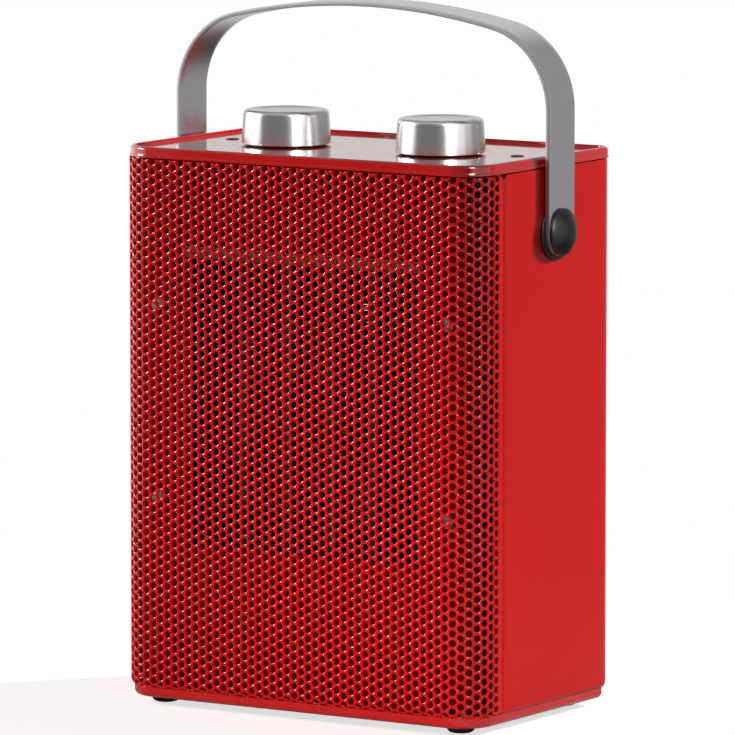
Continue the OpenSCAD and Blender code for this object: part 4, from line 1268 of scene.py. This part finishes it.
@dataclass
class Studio:
    """Camera, lamps, pale floor and white surroundings.

    The fade of the floor is in metres, as the coordinates of its material are.
    """

    azimuth: float = 32.6
    elevation: float = 7.0
    distance: float = 3335.0
    focus: float = 7834.0
    right: float = 0.83
    high: float = 142.5
    lamps: tuple[Lamp, ...] = (
        Lamp("left_box", -63, 22, 1.8, 0.58, 0.58, 25.0),
        Lamp("low_strip", 26, -16, 0.35, 0.4, 0.06, 0.64, Reach.PLAIN),
        Lamp("rear_box", 145, 20, 1.2, 0.14, 0.14, 19.5, Reach.PLAIN),
        Lamp("right_box", 58, 28, 1.2, 0.3, 0.7, 11.0, Reach.GLOSS),
    )
    walls: tuple[Wall, ...] = (
        Wall(-144, 6, 0.62, 0.90, 0.7), Wall(-80, 0, 0.707, 0.82, 1.5), Wall(88, 5, 0.76, 0.914, 1.1),
        Wall(150, 10, 0.72, 0.92, 0.36), Wall(2, 0, 0.766, 0.94, 0.2), Wall(0, 90, 0.26, 0.8, 0.5),
    )
    dark: float = 0.07
    fill: float = 0.03
    floor_r: float = 1400.0
    floor_z: float = -0.2
    floor_paint: float = 0.5
    floor_glow: float = 0.68
    fade_centre: tuple[float, float, float] = (-0.10, -0.22, 0.0)
    fade: tuple[float, float] = (0.30, 0.62)

    def camera(self) -> None:
        """Set up the camera at the fitted angle; the focal length in pixels becomes one in millimetres."""
        data = bpy.data.cameras.new("camera")
        data.sensor_width = 36.0
        data.lens = self.focus / IMAGE_SIDE * data.sensor_width
        data.clip_end = 50.0
        view = show("camera", data)
        turn = aimed(self.azimuth, self.elevation)
        eye = turn @ [self.right, self.high, self.distance] * MM
        view.matrix_world = Matrix.Translation(eye) @ Matrix(turn.tolist()).to_4x4()
        bpy.context.scene.camera = view

    def world(self) -> None:
        """Make surroundings that are white to the camera and a soft studio to reflections.

        Reflections see the walls and a dark studio elsewhere. The rest of the light is a weak, even fill.
        """
        world = bpy.data.worlds.new("studio")
        world.use_nodes = True
        tree = world.node_tree
        tree.nodes.clear()
        path = add_node(tree, "LightPath").outputs
        place = add_node(tree, "TexCoord").outputs["Generated"]
        largest, white = {"operation": "MAXIMUM"}, (1, 1, 1, 1)
        shade = None
        for wall in self.walls:
            middle = aimed(wall.azimuth, wall.elevation)[:, 2]
            towards = add_node(tree, "VectorMath", {"operation": "DOT_PRODUCT"}, i0=place, i1=middle)
            pale = add_node(tree, "MapRange", {"interpolation_type": "SMOOTHSTEP"},
                            Value=towards.outputs["Value"], i1=wall.start, i2=wall.full, i3=self.dark,
                            i4=wall.level).outputs[0]
            shade = add_node(tree, "Math", largest, i0=shade, i1=pale).outputs[0] if shade else pale
        tone = add_node(tree, "Mix", {"data_type": "FLOAT"}, Factor=path["Is Camera Ray"], i2=shade, i3=1.0)
        mirror = add_node(tree, "Math", largest, i0=path["Is Glossy Ray"], i1=path["Is Transmission Ray"])
        seen = add_node(tree, "Math", largest, i0=mirror.outputs[0], i1=path["Is Camera Ray"])
        backdrop = add_node(tree, "Background", Color=white, Strength=tone.outputs[0])
        fill = add_node(tree, "Background", Color=white, Strength=self.fill)
        both = add_node(tree, "MixShader", i0=seen.outputs[0], i1=fill.outputs[0], i2=backdrop.outputs[0])
        add_node(tree, "OutputWorld", Surface=both.outputs[0])
        bpy.context.scene.world = world

    def floor(self) -> None:
        """Lay a pale round floor that fades into the white surroundings and keeps the shadow."""
        r = np.concatenate([[0, 50], np.linspace(100, self.floor_r, 14)])
        a = np.linspace(0, FULL_TURN, 96, endpoint=False)[::-1]
        x, y = np.outer(np.cos(a), r), np.outer(np.sin(a), r)
        mesh = Skin.grid(np.stack([x, y, np.full_like(x, self.floor_z)], -1), close_u=True).mesh("floor")
        made = bpy.data.materials.new("pale_matt_floor")
        made.use_nodes = True
        tree = made.node_tree
        tree.nodes.clear()
        path = add_node(tree, "LightPath").outputs
        place = add_node(tree, "TexCoord").outputs["Object"]
        near = add_node(tree, "VectorMath", {"operation": "SUBTRACT"}, i0=place, i1=self.fade_centre)
        reach = add_node(tree, "VectorMath", {"operation": "LENGTH"}, i0=near.outputs[0]).outputs["Value"]
        fade = add_node(tree, "MapRange", {"interpolation_type": "SMOOTHSTEP"}, Value=reach, i1=self.fade[0],
                        i2=self.fade[1])
        paint = add_node(tree, "BsdfDiffuse", Color=(*[self.floor_paint] * 3, 1))
        glow = add_node(tree, "Emission", Color=(1, 1, 1, 1), Strength=self.floor_glow)
        lit = add_node(tree, "AddShader", i0=paint.outputs[0], i1=glow.outputs[0])
        seen = add_node(tree, "MixShader", i0=path["Is Camera Ray"], i1=paint.outputs[0], i2=lit.outputs[0])
        clear = add_node(tree, "BsdfTransparent")
        both = add_node(tree, "MixShader", i0=fade.outputs[0], i1=seen.outputs[0], i2=clear.outputs[0])
        add_node(tree, "OutputMaterial", Surface=both.outputs[0])
        mesh.materials.append(made)
        show("floor", mesh)

    def build(self) -> None:
        """Set up camera, lamps, surroundings and floor."""
        bpy.context.scene.view_settings.view_transform = "Standard"
        self.camera()
        self.world()
        self.floor()
        for lamp in self.lamps:
            lamp.build()


def main() -> None:
    """Build the studio and every piece in order."""
    logging.basicConfig(level=logging.INFO, format="%(name)s %(message)s")
    Studio().build()
    Inside().build()
    OutletTrim().build()
    Grille().build()
    Case().build()
    Knob("temp_knob", -38.6, -90.0).build()
    Knob("mode_knob", 38.6, 0.0).build()
    Handle().build()


if __name__ == "__main__":
    main()
